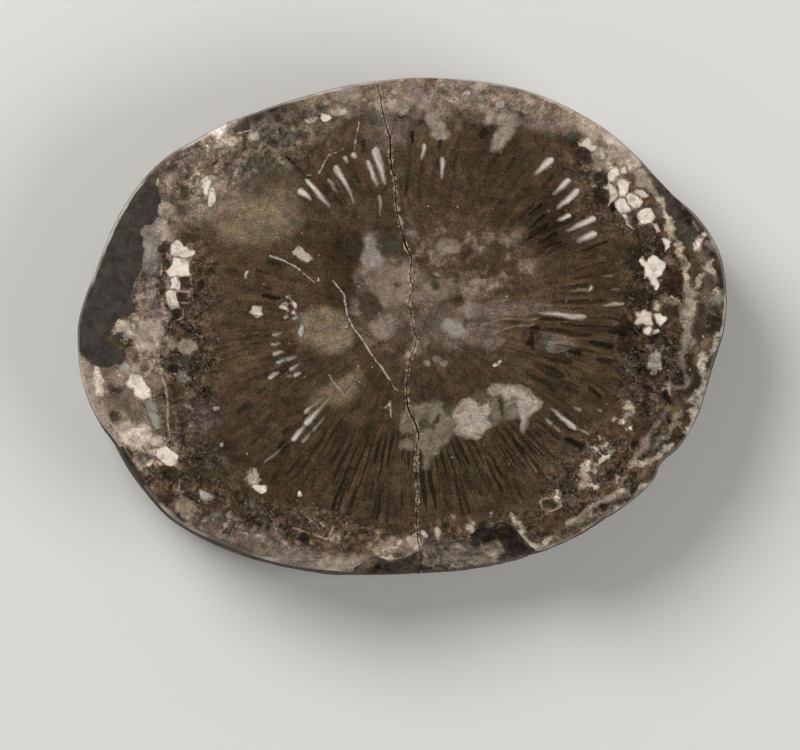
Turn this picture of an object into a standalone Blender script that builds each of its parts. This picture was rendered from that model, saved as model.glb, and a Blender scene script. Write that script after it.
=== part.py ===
# A sawn and polished slice through a solitary horn coral, grown into a patch of its limestone.
# It is one solid stone: the polished face looks up along +Z, the flat sawn back lies on Z = 0,
# and the coral's own rough wall runs all round. The origin is under the middle of the slice.
# Outlines are listed in millimetres and the model is in metres.

import math

import bmesh
import bpy

MM = 0.001
THICKNESS = 12.0  # polished face above the sawn back, mm
RING_POINTS = 192  # points round each ring of the wall
CAP_STEPS = (0.82, 0.6, 0.36)  # rings inside the polished face and the back, as parts of its radius

# Growth wrinkles on the coral's outer skin
WRINKLE_PITCH = 3.1  # mm up the wall
WRINKLE_DEPTH = 0.32  # mm
WRINKLE_SWAY = 0.9  # mm that a wrinkle wanders up and down on its way round

# Edge of the polished face, clockwise from the far side. The chip is at the near side.
FACE_EDGE = [
    (0.4, 22.4), (4.4, 22.3), (8.9, 21.75), (12.5, 20.75), (15.0, 19.55), (18.6, 17.5),
    (21.1, 15.2), (24.1, 11.9), (27.2, 8.4), (28.6, 6.1), (29.1, 3.8), (29.1, 1.4),
    (28.7, -0.9), (27.9, -3.4), (27.1, -5.8), (26.5, -7.8), (24.9, -10.5), (23.1, -12.1),
    (22.4, -13.8), (21.0, -15.2), (19.5, -16.3), (17.9, -17.2), (16.0, -18.6), (13.9, -19.7),
    (12.4, -20.3), (11.3, -19.9), (10.3, -18.5), (9.0, -17.9), (7.6, -18.6), (6.1, -19.4),
    (4.4, -19.7), (2.4, -19.6), (1.4, -20.3), (0.6, -21.0), (-1.2, -21.35), (-2.7, -21.1),
    (-4.4, -22.1), (-6.2, -22.1), (-9.0, -21.85), (-13.7, -20.7), (-16.3, -19.6), (-19.9, -18.0),
    (-22.7, -15.2), (-23.9, -13.4), (-25.4, -11.0), (-26.3, -9.9), (-27.2, -8.9), (-28.4, -6.6),
    (-29.1, -4.3), (-29.3, -2.0), (-29.25, 0.1), (-28.7, 2.2), (-27.5, 5.3), (-24.8, 11.1),
    (-21.7, 14.8), (-18.4, 16.75), (-15.8, 18.25), (-12.9, 19.25), (-8.1, 20.8), (-2.2, 22.0),
]

# The widest line of the natural wall, below half height, clockwise from the far side
WALL_LINE = [
    (0.45, 22.65), (4.4, 22.6), (8.9, 22.1), (12.6, 21.1), (18.7, 17.9), (21.4, 15.6),
    (24.4, 12.2), (27.6, 8.7), (29.0, 6.3), (29.6, 3.8), (29.65, 1.4), (29.4, -0.7),
    (28.7, -3.3), (27.9, -5.9), (27.2, -7.9), (25.5, -10.9), (23.7, -12.6), (23.0, -14.1),
    (21.4, -15.7), (18.4, -17.8), (16.3, -19.1), (12.4, -20.8), (8.5, -21.9), (3.3, -22.6),
    (-0.8, -22.75), (-4.3, -22.9), (-9.0, -22.4), (-13.7, -21.3), (-19.0, -19.1), (-21.5, -17.5),
    (-23.2, -15.7), (-25.1, -13.2), (-26.5, -10.7), (-27.5, -9.3), (-28.7, -6.9), (-29.4, -4.4),
    (-29.65, -2.0), (-29.65, 0.1), (-29.1, 2.3), (-27.9, 5.4), (-25.2, 11.4), (-22.0, 15.1),
    (-18.7, 17.2), (-15.9, 18.65), (-13.0, 19.7), (-8.1, 21.25), (-2.2, 22.4),
]

# The wall from the polished edge down: height as a part of the thickness, how far the ring lies
# from the face edge (0) out to the wall line (1), and how far it is drawn in from there, in mm
WALL_SECTION = [
    (1.0, 0.0, 0.0),  # edge of the polished face
    (0.97, 0.42, 0.0),  # ground arris
    (0.91, 0.64, 0.0),
    (0.8, 0.78, 0.0),
    (0.67, 0.88, 0.0),
    (0.52, 0.96, 0.0),
    (0.37, 1.0, 0.0),  # widest line
    (0.22, 1.0, 0.15),
    (0.08, 1.0, 0.45),
    (0.0, 1.0, 1.05),  # edge of the sawn back
]

STONE_COLOUR = (0.072, 0.055, 0.042, 1.0)  # dark brown recrystallised limestone, linear
STONE_ROUGHNESS = 0.28  # polished


def clear_scene():
    for old in list(bpy.data.objects):
        bpy.data.objects.remove(old, do_unlink=True)


def polar(outline):
    """The outline's points as (angle, radius) about the origin, by rising angle."""
    return sorted((math.atan2(y, x), math.hypot(x, y)) for x, y in outline)


def radius_at(corners, angle):
    """Radius of the closed smooth curve through polar corners, at one angle."""
    count = len(corners)
    after = next((i for i, corner in enumerate(corners) if corner[0] > angle), 0)
    around = []
    for step in (-2, -1, 0, 1):
        index = after + step
        corner_angle, radius = corners[index % count]
        turns = math.floor(index / count)
        if after == 0 and angle >= corners[-1][0]:
            turns += 1
        around.append((corner_angle + 2 * math.pi * turns, radius))
    (a0, r0), (a1, r1), (a2, r2), (a3, r3) = around
    slope1 = (r2 - r0) / (a2 - a0)
    slope2 = (r3 - r1) / (a3 - a1)
    span = a2 - a1
    t = (angle - a1) / span
    return (
        (2 * t**3 - 3 * t**2 + 1) * r1
        + (t**3 - 2 * t**2 + t) * span * slope1
        + (-2 * t**3 + 3 * t**2) * r2
        + (t**3 - t**2) * span * slope2
    )


def wrinkle(angle, height):
    """How far a growth wrinkle stands in from the wall line, in mm."""
    sway = math.sin(2 * angle + 0.7) + 0.5 * math.sin(5 * angle + 2.1)
    phase = 2 * math.pi * (height + WRINKLE_SWAY * sway) / WRINKLE_PITCH
    return WRINKLE_DEPTH * 0.5 * (1 - math.cos(phase))


def wall_ring(bm, face_corners, wall_corners, level, reach, drawn_in):
    """One ring of vertices round the wall, at one line of WALL_SECTION."""
    height = level * THICKNESS
    relief = 4 * level * (1 - level)  # none at the two flat faces, full at half height
    ring = []
    for i in range(RING_POINTS):
        angle = -math.pi + 2 * math.pi * i / RING_POINTS
        inner = radius_at(face_corners, angle)
        outer = radius_at(wall_corners, angle)
        radius = inner + reach * (outer - inner) - drawn_in - relief * wrinkle(angle, height)
        place = (radius * math.cos(angle) * MM, radius * math.sin(angle) * MM, height * MM)
        ring.append(bm.verts.new(place))
    return ring


def bridge(bm, upper, lower):
    """Quads between two rings with the same number of points."""
    count = len(upper)
    for i in range(count):
        j = (i + 1) % count
        bm.faces.new((upper[i], lower[i], lower[j], upper[j]))


def step_in(bm, outer, scale, upward):
    """A ring inside a flat face with half as many points, joined to the ring outside it."""
    height = outer[0].co.z
    inner = [bm.verts.new((v.co.x * scale, v.co.y * scale, height)) for v in outer[::2]]
    count = len(inner)
    for i in range(count):
        a, b, c = outer[2 * i], outer[2 * i + 1], outer[(2 * i + 2) % len(outer)]
        p, q = inner[i], inner[(i + 1) % count]
        for corners in ((a, b, p), (b, q, p), (b, c, q)):
            bm.faces.new(corners if upward else corners[::-1])
    return inner


def flat_cap(bm, edge, upward):
    """Fills a flat face from its edge to its middle, with well-shaped triangles."""
    ring = edge
    inside = 1.0
    for part in CAP_STEPS:
        ring = step_in(bm, ring, part / inside, upward)
        inside = part
    middle = bm.verts.new((0.0, 0.0, edge[0].co.z))
    for i, corner in enumerate(ring):
        following = ring[(i + 1) % len(ring)]
        corners = (corner, following, middle)
        bm.faces.new(corners if upward else corners[::-1])


def centre_on_origin(bm):
    """Puts the middle of the bounding box over the origin, with the back on Z = 0."""
    for axis in (0, 1):
        values = [v.co[axis] for v in bm.verts]
        middle = (min(values) + max(values)) / 2
        for v in bm.verts:
            v.co[axis] -= middle


def stone_material():
    material = bpy.data.materials.new("polished_coral_limestone")
    material.use_nodes = True
    shader = material.node_tree.nodes["Principled BSDF"]
    shader.inputs["Base Color"].default_value = STONE_COLOUR
    shader.inputs["Roughness"].default_value = STONE_ROUGHNESS
    shader.inputs["Metallic"].default_value = 0.0
    return material


def coral_slice():
    face_corners = polar(FACE_EDGE)
    wall_corners = polar(WALL_LINE)
    bm = bmesh.new()
    rings = [wall_ring(bm, face_corners, wall_corners, *line) for line in WALL_SECTION]
    for upper, lower in zip(rings, rings[1:]):
        bridge(bm, upper, lower)
    flat_cap(bm, rings[0], upward=True)
    flat_cap(bm, rings[-1], upward=False)
    centre_on_origin(bm)
    mesh = bpy.data.meshes.new("coral_slice")
    bm.to_mesh(mesh)
    bm.free()
    mesh.shade_smooth()
    mesh.set_sharp_from_angle(angle=math.radians(35))
    mesh.materials.append(stone_material())
    slice_object = bpy.data.objects.new("coral_slice", mesh)
    bpy.context.collection.objects.link(slice_object)
    return slice_object


clear_scene()
coral_slice()
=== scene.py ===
import math

import bpy
import numpy as np
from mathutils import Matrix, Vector, noise
from mathutils.geometry import delaunay_2d_cdt


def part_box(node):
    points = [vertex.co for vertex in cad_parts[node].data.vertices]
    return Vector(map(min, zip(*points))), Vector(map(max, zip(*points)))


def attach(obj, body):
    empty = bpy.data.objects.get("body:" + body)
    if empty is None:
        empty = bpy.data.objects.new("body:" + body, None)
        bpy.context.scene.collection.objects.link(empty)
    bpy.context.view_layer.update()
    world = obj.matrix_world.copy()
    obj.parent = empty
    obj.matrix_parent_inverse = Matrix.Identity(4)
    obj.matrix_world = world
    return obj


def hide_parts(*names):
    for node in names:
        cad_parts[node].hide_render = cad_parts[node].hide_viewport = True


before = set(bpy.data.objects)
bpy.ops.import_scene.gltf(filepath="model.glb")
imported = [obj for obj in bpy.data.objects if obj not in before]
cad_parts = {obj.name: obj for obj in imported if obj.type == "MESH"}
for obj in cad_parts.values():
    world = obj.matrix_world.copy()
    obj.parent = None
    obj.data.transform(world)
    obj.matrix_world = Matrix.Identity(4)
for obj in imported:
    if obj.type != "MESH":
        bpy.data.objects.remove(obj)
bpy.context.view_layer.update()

mm = 0.001
sliceNode = "coral_slice"
# Places on the slice are in mm from its middle: X to the right, Y away, Z up from the sawn back


def each(*groups):  # rows, each with its group's colour at the end
    return [(*row, colour) for colour, rows in groups for row in rows]


sliceShape = {
    "thickness": 12.0,  # the CAD solid's own height
    "septa": 134,  # long and short together
    "axis": (0.8, 0.9),  # where the septa meet
    "seamTurn": 82.5,  # degrees that bring the seam of the turn under the open crack
    "facePoint": 0.26,  # spacing of the mesh on the polished face
    "rimPoint": 0.27,  # and round the rim
    "rimRadius": 26,
    "backPoint": 0.55,  # and on the sawn back
    "crackPoint": 0.17,  # and along the crack, scratches, bands, gaps and outlines
    "linePoint": 0.18,
    "bandPoint": 0.3,
    "barPoint": 0.25,
    "outlinePoint": 0.22,
    "gridRoom": 0.14,  # mesh points stay this far from the rim
    "lineRoom": 0.1,  # lines in the mesh do so too
    "crackRoom": 0.24,  # and both stay this far from the crack
    "lipRoom": 2.2,  # half widths of the crack kept free of rim points at each end
    "backRoom": 0.4,  # points on the back stay this far from its edge
    "gridReach": (31, 24),  # mesh points are laid out this far from the middle, to cover the whole slice
    "smallPatch": 0.5,  # patches with a half size below this are outlined in the mesh
    "stainWander": (4.0, 0.8),  # size of the noise that bends outlines, and how far it does
    "patchWander": (1.1, 0.3),
    "gapWander": (1.5, 0.12),
    "crystalSeam": 0.06,  # half the dark seam between crystals that touch
    "arrisRows": (0.0, 0.05, 0.12, 0.22, 0.36),  # mm down from the face, where the ground arris turns over
    "wallRows": 34,
    "rowsWiden": 1.25,  # they lie further apart towards the back
    "leastSpread": 0.12,  # the wall stands out from the face edge by this much at least
    "wrinklePitch": 3.1,  # growth wrinkles up the wall
    "wrinkleDepth": 0.4,
    "ribDepth": 0.07,  # fine ribs down the wall, one for each septum
    "weathering": 0.18,  # roughness of the wall
    "reliefGrows": 2.2,  # mm below the arris where the wall is at its roughest
    "reliefFades": 0.7,  # mm above the back
    "ridgeWorn": 0.26,  # ridges that stand out further than this are rubbed down to an even line
    "ridgeSoft": 0.06,
    "chipSpread": (0.8, 1.6),  # the rim is chipped where the wall stands out further than this
    "chipShows": (0.9, 1.8),  # and shows the broken stone
    "chipFoot": 0.62,  # share of the height where the break ends
    "chipHeight": (0.62, 0.72),
    "chipRelief": 0.5,  # steps in the broken rim
    "sharpAngle": 48,  # edges bent more than this are creased
}
crackDepth = {"face": 0.45, "rim": 0.3, "row": 0.02}  # at the rim, and so much lower for each row of the wall

sliceLooks = {
    "ior": 1.58,  # calcite, between its two values
    "lump": "#85756a",
    "calciteEdge": "#8f7c6a",
    "rubbleRose": "#7f665b",
    "rubbleMoss": "#3f3d31",
    "rubbleBone": "#968a7c",
    "speck": "#c6bbae",
    "limestone": "#3f3a35",
    "bruise": "#b3a491",
    # the crack's dark core, a painted shade for its depth
    "crack": "#1a110a",
    # pale scuffed arris, partly a painted highlight along the bevel
    "scuffAndEdgeHighlight": "#c4b8a9",
    "rind": "#3b3229",
    "dust": "#65594a",
    "darkBandsAndHollows": "#2b241c",
    "wornRind": "#7a6c5b",
    "crust": "#7f7363",
    "sawDust": "#8b8379",
}

# Edge of the polished face, clockwise from the far side
faceEdge = [
    (0.4, 22.4), (4.4, 22.3), (8.9, 21.75), (12.5, 20.75), (15.0, 19.55), (18.6, 17.5), (21.1, 15.2),
    (24.3, 12.1), (26.3, 10.1), (27.6, 8.4), (28.65, 6.4), (29.15, 4.1), (29.25, 1.6), (28.9, -0.8),
    (28.1, -3.3), (27.4, -5.9), (26.8, -7.9), (25.2, -10.75), (23.4, -12.4), (22.7, -14.0), (21.2, -15.5),
    (19.7, -16.65), (18.05, -17.5), (16.1, -18.85), (13.95, -19.9), (12.4, -20.4), (11.3, -19.9),
    (10.3, -18.5), (9.0, -17.9), (7.6, -18.6), (6.1, -19.4), (4.4, -19.7), (2.4, -19.6), (1.4, -20.3),
    (0.6, -21.0), (-1.2, -21.35), (-2.7, -21.1), (-4.4, -22.1), (-6.2, -22.1), (-9.0, -21.85),
    (-13.7, -20.7), (-16.3, -19.6), (-19.9, -18.0), (-22.7, -15.2), (-23.9, -13.4), (-25.4, -11.0),
    (-26.3, -9.9), (-27.2, -8.9), (-28.4, -6.6), (-29.1, -4.3), (-29.3, -2.0), (-29.25, 0.1), (-28.7, 2.2),
    (-27.5, 5.3), (-24.8, 11.1), (-21.7, 14.8), (-18.4, 16.75), (-15.8, 18.25), (-12.9, 19.25),
    (-8.1, 20.8), (-2.2, 22.0),
]

# Widest line of the natural wall
wallLine = [
    (0.45, 22.65), (4.4, 22.6), (8.9, 22.1), (12.6, 21.1), (18.7, 17.9), (21.4, 15.6), (24.4, 12.2),
    (26.7, 10.3), (28.0, 8.7), (29.1, 6.6), (29.6, 4.1), (29.7, 1.6), (29.4, -0.8), (28.6, -3.4),
    (27.8, -6.0), (27.2, -7.9), (25.5, -10.9), (23.7, -12.6), (23.0, -14.1), (21.4, -15.7), (18.4, -17.8),
    (16.3, -19.1), (12.4, -20.8), (8.5, -21.9), (3.3, -22.6), (-0.8, -22.75), (-4.3, -22.9), (-9.0, -22.4),
    (-13.7, -21.3), (-19.0, -19.1), (-21.5, -17.5), (-23.2, -15.7), (-25.1, -13.2), (-26.5, -10.7),
    (-27.5, -9.3), (-28.7, -6.9), (-29.4, -4.4), (-29.65, -2.0), (-29.65, 0.1), (-29.1, 2.3), (-27.9, 5.4),
    (-25.2, 11.4), (-22.0, 15.1), (-18.7, 17.2), (-15.9, 18.65), (-13.0, 19.7), (-8.1, 21.25), (-2.2, 22.4),
]

# The wall from the polished edge down: height, way out from the face edge to the wall line, mm drawn in
wallSection = [
    (1.0, 0.0, 0.0), (0.97, 0.42, 0.0), (0.91, 0.64, 0.0), (0.8, 0.78, 0.0), (0.67, 0.88, 0.0),
    (0.52, 0.96, 0.0), (0.37, 1.0, 0.0), (0.22, 1.0, 0.15), (0.08, 1.0, 0.45), (0.0, 1.0, 1.05),
]

# The same where the rim is chipped: a steep break, then a rough shelf
chipSection = [
    (1.0, 0.0), (0.985, 0.05), (0.93, 0.1), (0.88, 0.18), (0.84, 0.42), (0.8, 0.72), (0.76, 0.9),
    (0.67, 0.95), (0.52, 0.97), (0.37, 1.0), (0.0, 1.0),
]

# The open crack across the face, from the far rim to the chip, then its width at places along Y
crackPath = [
    (-2.3, 22.0), (-2.0, 20.8), (-1.8, 19.4), (-1.4, 17.9), (-1.1, 16.9), (-1.1, 15.2), (-0.9, 14.1),
    (-0.6, 12.5), (-0.6, 10.9), (-0.3, 9.6), (-0.1, 8.6), (0.4, 7.0), (0.8, 6.0), (0.7, 4.4), (1.0, 3.1),
    (0.6, 2.1), (0.95, 0.1), (1.3, -1.5), (0.95, -2.6), (0.7, -3.3), (0.5, -4.7), (0.4, -6.3), (0.55, -7.6),
    (1.0, -8.6), (1.4, -9.7), (1.5, -10.5), (1.3, -11.0), (1.3, -12.7), (1.3, -14.1), (1.4, -15.7),
    (1.3, -17.3), (1.3, -18.5), (1.5, -19.9), (1.6, -20.3),
]
crackWidth = [
    (22.0, 0.08), (17.5, 0.1), (16.0, 0.17), (13.5, 0.08), (8.6, 0.09), (7.2, 0.16), (5.0, 0.08),
    (0.0, 0.07), (-5.5, 0.08), (-9.3, 0.15), (-11.0, 0.07), (-20.3, 0.08),
]

# Calcite that fills gaps between septa, by mineral: turn round the axis in degrees, from and to in mm out
# from it, width, degrees that the outer end leans round
filledGaps = each(
    ("milky", [
        (48.4, 17.0, 19.2, 0.68, -0.5), (40.2, 16.9, 19.0, 0.56, 0.2), (36.0, 16.4, 19.1, 0.63, 0.5),
        (32.5, 15.9, 17.1, 0.52, -0.5), (28.2, 16.1, 18.9, 0.63, -0.4), (23.6, 16.5, 18.4, 0.63, 0.3),
        (0.8, 11.6, 15.9, 0.49, -1.9), (7.4, 16.3, 16.6, 0.38, 1.6), (101.4, 12.0, 15.6, 0.71, 0.7),
        (104.7, 12.0, 14.6, 0.46, 1.3), (116.5, 12.3, 15.2, 0.59, 0.6), (109.2, 15.0, 15.7, 0.46, 0.7),
        (85.8, 14.1, 15.6, 0.37, -0.2), (77.3, 12.5, 14.6, 0.38, 1.3), (97.3, 9.4, 10.0, 0.38, -0.6),
        (131.0, 13.8, 15.3, 0.64, 0.8), (127.0, 12.3, 15.6, 0.53, 0.6), (196.3, 12.0, 13.1, 0.34, -0.2),
        (204.3, 11.1, 12.1, 0.34, 0.1), (208.2, 11.2, 12.0, 0.34, -0.6), (203.9, 13.0, 14.1, 0.41, 0.1),
        (226.2, 14.1, 15.8, 0.53, 0.3), (225.9, 11.8, 13.9, 0.59, 0.1), (326.2, 15.3, 18.3, 0.41, -1.0),
    ]),
    ("cream", [
        (2.8, 17.3, 19.4, 0.3, 0.2), (117.2, 11.4, 12.6, 0.2, -0.6), (112.7, 14.9, 15.7, 0.39, 0.2),
        (222.7, 12.0, 13.2, 0.34, 0.1),
    ]),
    ("tan", [
        (11.2, 17.6, 18.8, 0.2, -0.3), (7.0, 18.2, 19.1, 0.2), (8.1, 14.6, 16.2, 0.2, 0.1),
        (225.7, 10.0, 12.2, 0.43, 0.2), (223.2, 10.9, 12.1, 0.28, -0.2), (322.0, 16.3, 17.2, 0.3),
    ]),
    ("grey", [
        (121.0, 12.9, 14.6, 0.3, 0.3), (107.6, 9.3, 11.2, 0.3, -2.8), (157.0, 12.3, 14.0, 0.22, 0.1),
        (188.4, 11.8, 12.8, 0.3), (192.2, 12.1, 13.0, 0.39, 0.2), (200.0, 11.0, 12.0, 0.43, 0.2),
        (207.6, 12.0, 12.6, 0.15, -1.0), (229.4, 14.0, 15.3, 0.28, 0.1), (229.6, 12.1, 13.8, 0.22, 0.3),
        (225.9, 17.0, 19.0, 0.18, -0.5), (325.6, 18.2, 19.5, 0.26, 0.6), (322.1, 15.4, 16.2, 0.36),
        (330.4, 16.9, 17.8, 0.3, 0.1), (333.0, 18.9, 19.5, 0.25),
    ]),
    ("blue", [(199.7, 12.0, 13.0, 0.39, 0.2)]),
    ("green", [(309.3, 16.4, 18.4, 0.16, -0.6)]),
)

# Filled bubbles of the skeleton and single crystals, by mineral: middle, half sizes, tilt in degrees
crystals = each(
    ("white", [
        (22.4, -0.6, 0.35, 0.3), (23.0, -0.7, 0.3, 0.2), (-17.8, 12.5, 0.41, 0.64, -20),
        (-17.4, 11.3, 0.36, 0.73, -15), (-12.8, -14.9, 0.55, 0.41, -20), (-9.2, -15.2, 0.23, 0.32, 20),
        (-6.9, 18.75, 0.5, 0.38, 10), (8.5, -3.6, 0.22, 0.16, 40), (9.0, -3.4, 0.13, 0.13),
        (-9.8, 1.1, 0.3, 0.3), (-7.6, 4.0, 0.1, 0.1), (-12.5, 3.7, 0.08, 0.08), (24.3, 2.4, 0.1, 0.1),
    ]),
    ("grey", [
        (-25.2, -3.8, 0.45, 0.36), (-16.4, -10.9, 0.27, 0.27), (9.0, 20.1, 0.45, 0.27),
        (-20.8, 1.6, 0.45, 0.25),
    ]),
    ("blue", [
        (-17.9, -15.5, 0.55, 0.27, -25), (-10.3, 2.3, 0.27, 0.23), (-10.8, 1.7, 0.27, 0.18),
        (-9.6, 0.4, 0.36, 0.18, 30), (-10.5, 0.6, 0.27, 0.18), (-9.2, -0.5, 0.23, 0.64, 10),
    ]),
    ("pink", [(-17.0, -7.6, 0.32, 0.27)]),
    ("milky", [(-10.8, 1.4, 0.45, 0.2, -20), (-9.9, 1.9, 0.4, 0.18, -45)]),
)

# Bigger crystals, side by side with only a thin seam between them: corners, mineral
crystalOutlines = [
    ([(18.9, 14.0), (19.2, 14.3), (19.5, 14.1), (19.6, 13.4), (19.2, 13.1), (18.9, 13.0), (18.8, 13.6)],
     "white"),
    ([(19.7, 14.2), (20.0, 14.4), (20.4, 14.3), (20.5, 14.0), (20.2, 13.7), (19.9, 13.6), (19.6, 13.9)],
     "white"),
    ([(19.4, 13.0), (19.8, 13.3), (20.3, 13.2), (20.7, 12.9), (20.6, 12.2), (20.0, 11.6), (19.7, 11.9),
      (19.5, 12.4)], "white"),
    ([(18.3, 12.5), (18.9, 12.8), (19.3, 12.9), (19.6, 12.0), (19.7, 11.7), (19.4, 11.3), (18.7, 11.0),
      (19.0, 11.5), (19.0, 11.8), (18.9, 12.4)], "pearl"),
    ([(19.5, 11.4), (20.0, 11.6), (20.5, 11.0), (20.9, 10.4), (20.6, 10.0), (20.0, 10.0), (19.6, 10.5),
      (19.5, 11.0)], "white"),
    ([(19.8, 10.0), (20.5, 9.9), (21.0, 9.0), (21.0, 8.7), (20.4, 9.4)], "pearl"),
    ([(20.1, 11.5), (20.7, 12.0), (21.0, 12.0), (21.3, 11.6), (21.7, 11.0), (21.7, 10.6), (21.0, 10.4),
      (20.6, 10.9)], "white"),
    ([(21.2, 10.3), (21.7, 10.6), (22.3, 10.7), (22.7, 10.4), (22.9, 9.9), (22.6, 9.2), (22.0, 9.0),
      (21.6, 9.3), (21.3, 9.9)], "white"),
    ([(21.2, 12.2), (21.9, 12.3), (22.3, 12.0), (22.5, 11.6), (22.1, 11.3), (21.7, 11.4), (21.3, 11.9)],
     "pearl"),
    ([(22.6, 9.0), (23.2, 9.1), (23.4, 8.9), (23.6, 8.5), (23.2, 8.3), (23.0, 8.6)], "pearl"),
    ([(23.5, 7.7), (24.1, 7.9), (24.3, 7.6), (24.3, 7.0), (23.9, 6.7), (23.7, 6.9), (23.8, 7.3)], "white"),
    ([(16.2, 16.5), (16.7, 16.9), (17.2, 16.6), (17.7, 16.1), (17.4, 15.7), (16.9, 15.9)], "pearl"),
    ([(18.0, 15.7), (18.4, 15.8), (18.7, 15.3), (18.3, 15.0), (18.0, 15.2)], "pearl"),
    ([(21.6, 5.9), (21.9, 6.1), (22.1, 5.9), (22.5, 6.1), (22.9, 6.3), (23.3, 6.1), (23.5, 5.7),
      (23.8, 5.6), (24.0, 5.2), (23.7, 4.9), (23.5, 4.6), (23.1, 4.3), (23.1, 4.0), (23.3, 3.5),
      (23.1, 3.1), (23.0, 3.1), (22.7, 3.7), (22.5, 4.1), (22.1, 4.2), (22.0, 5.0), (22.0, 5.4),
      (21.7, 5.6)], "white"),
    ([(21.2, 1.3), (21.8, 1.3), (22.3, 1.6), (22.5, 1.2), (22.8, 0.8), (22.6, 0.2), (22.7, -0.1),
      (22.1, -0.2), (21.4, -0.1), (21.2, 0.1), (21.6, 0.5), (21.3, 1.0)], "pearl"),
    ([(23.1, 1.1), (23.6, 1.1), (24.0, 0.8), (24.1, 0.5), (24.0, 0.0), (23.6, -0.1), (23.3, 0.2),
      (23.2, 0.8)], "white"),
    ([(-21.1, 7.3), (-20.4, 7.5), (-19.6, 7.1), (-18.9, 6.9), (-19.0, 6.4), (-19.6, 6.3), (-19.9, 6.0),
      (-20.7, 6.0), (-21.1, 6.3)], "white"),
    ([(-20.7, 6.0), (-20.0, 6.0), (-19.5, 5.6), (-19.4, 4.9), (-19.3, 4.4), (-19.9, 4.3), (-20.6, 4.2),
      (-21.2, 4.4), (-21.6, 4.9), (-21.1, 5.2), (-20.8, 5.5)], "white"),
    ([(-21.2, 4.3), (-20.3, 4.2), (-20.3, 3.7), (-20.4, 3.0), (-21.1, 3.0), (-21.1, 3.6), (-21.3, 4.0)],
     "white"),
    ([(-21.5, 3.0), (-20.6, 3.0), (-20.5, 2.4), (-20.6, 1.8), (-21.0, 1.6), (-21.4, 1.9), (-21.6, 2.4)],
     "white"),
    ([(-9.8, 6.7), (-9.4, 7.0), (-8.9, 6.8), (-8.4, 6.3), (-8.0, 5.8), (-8.5, 5.7), (-9.1, 5.9),
      (-9.6, 6.2)], "pearly"),
    ([(-13.6, 1.6), (-13.2, 1.7), (-13.0, 1.5), (-12.8, 1.0), (-12.9, 0.8), (-13.3, 0.8), (-13.7, 1.0),
      (-13.6, 1.2)], "milky"),
    ([(-14.2, 4.8), (-14.0, 4.9), (-13.9, 4.5), (-14.1, 4.2), (-14.3, 4.3)], "milky"),
    ([(-25.2, -5.1), (-24.7, -4.5), (-24.0, -4.5), (-23.5, -4.9), (-23.1, -5.5), (-22.9, -6.3),
      (-23.2, -6.9), (-23.9, -6.9), (-24.4, -6.4), (-24.5, -5.8), (-25.0, -5.8)], "white"),
    ([(-22.4, -7.9), (-22.1, -8.0), (-21.8, -8.6), (-21.9, -9.1), (-22.2, -8.8)], "bone"),
    ([(-23.3, -6.9), (-22.9, -6.9), (-22.3, -7.3), (-22.0, -8.0), (-21.7, -8.7), (-22.0, -9.3),
      (-22.5, -9.4), (-23.0, -8.7), (-23.3, -7.8)], "ashen"),
    ([(-22.4, -11.3), (-21.8, -11.0), (-21.1, -11.3), (-20.5, -11.9), (-20.7, -12.6), (-21.4, -12.8),
      (-22.0, -12.6), (-22.3, -12.0)], "white"),
]

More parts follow.
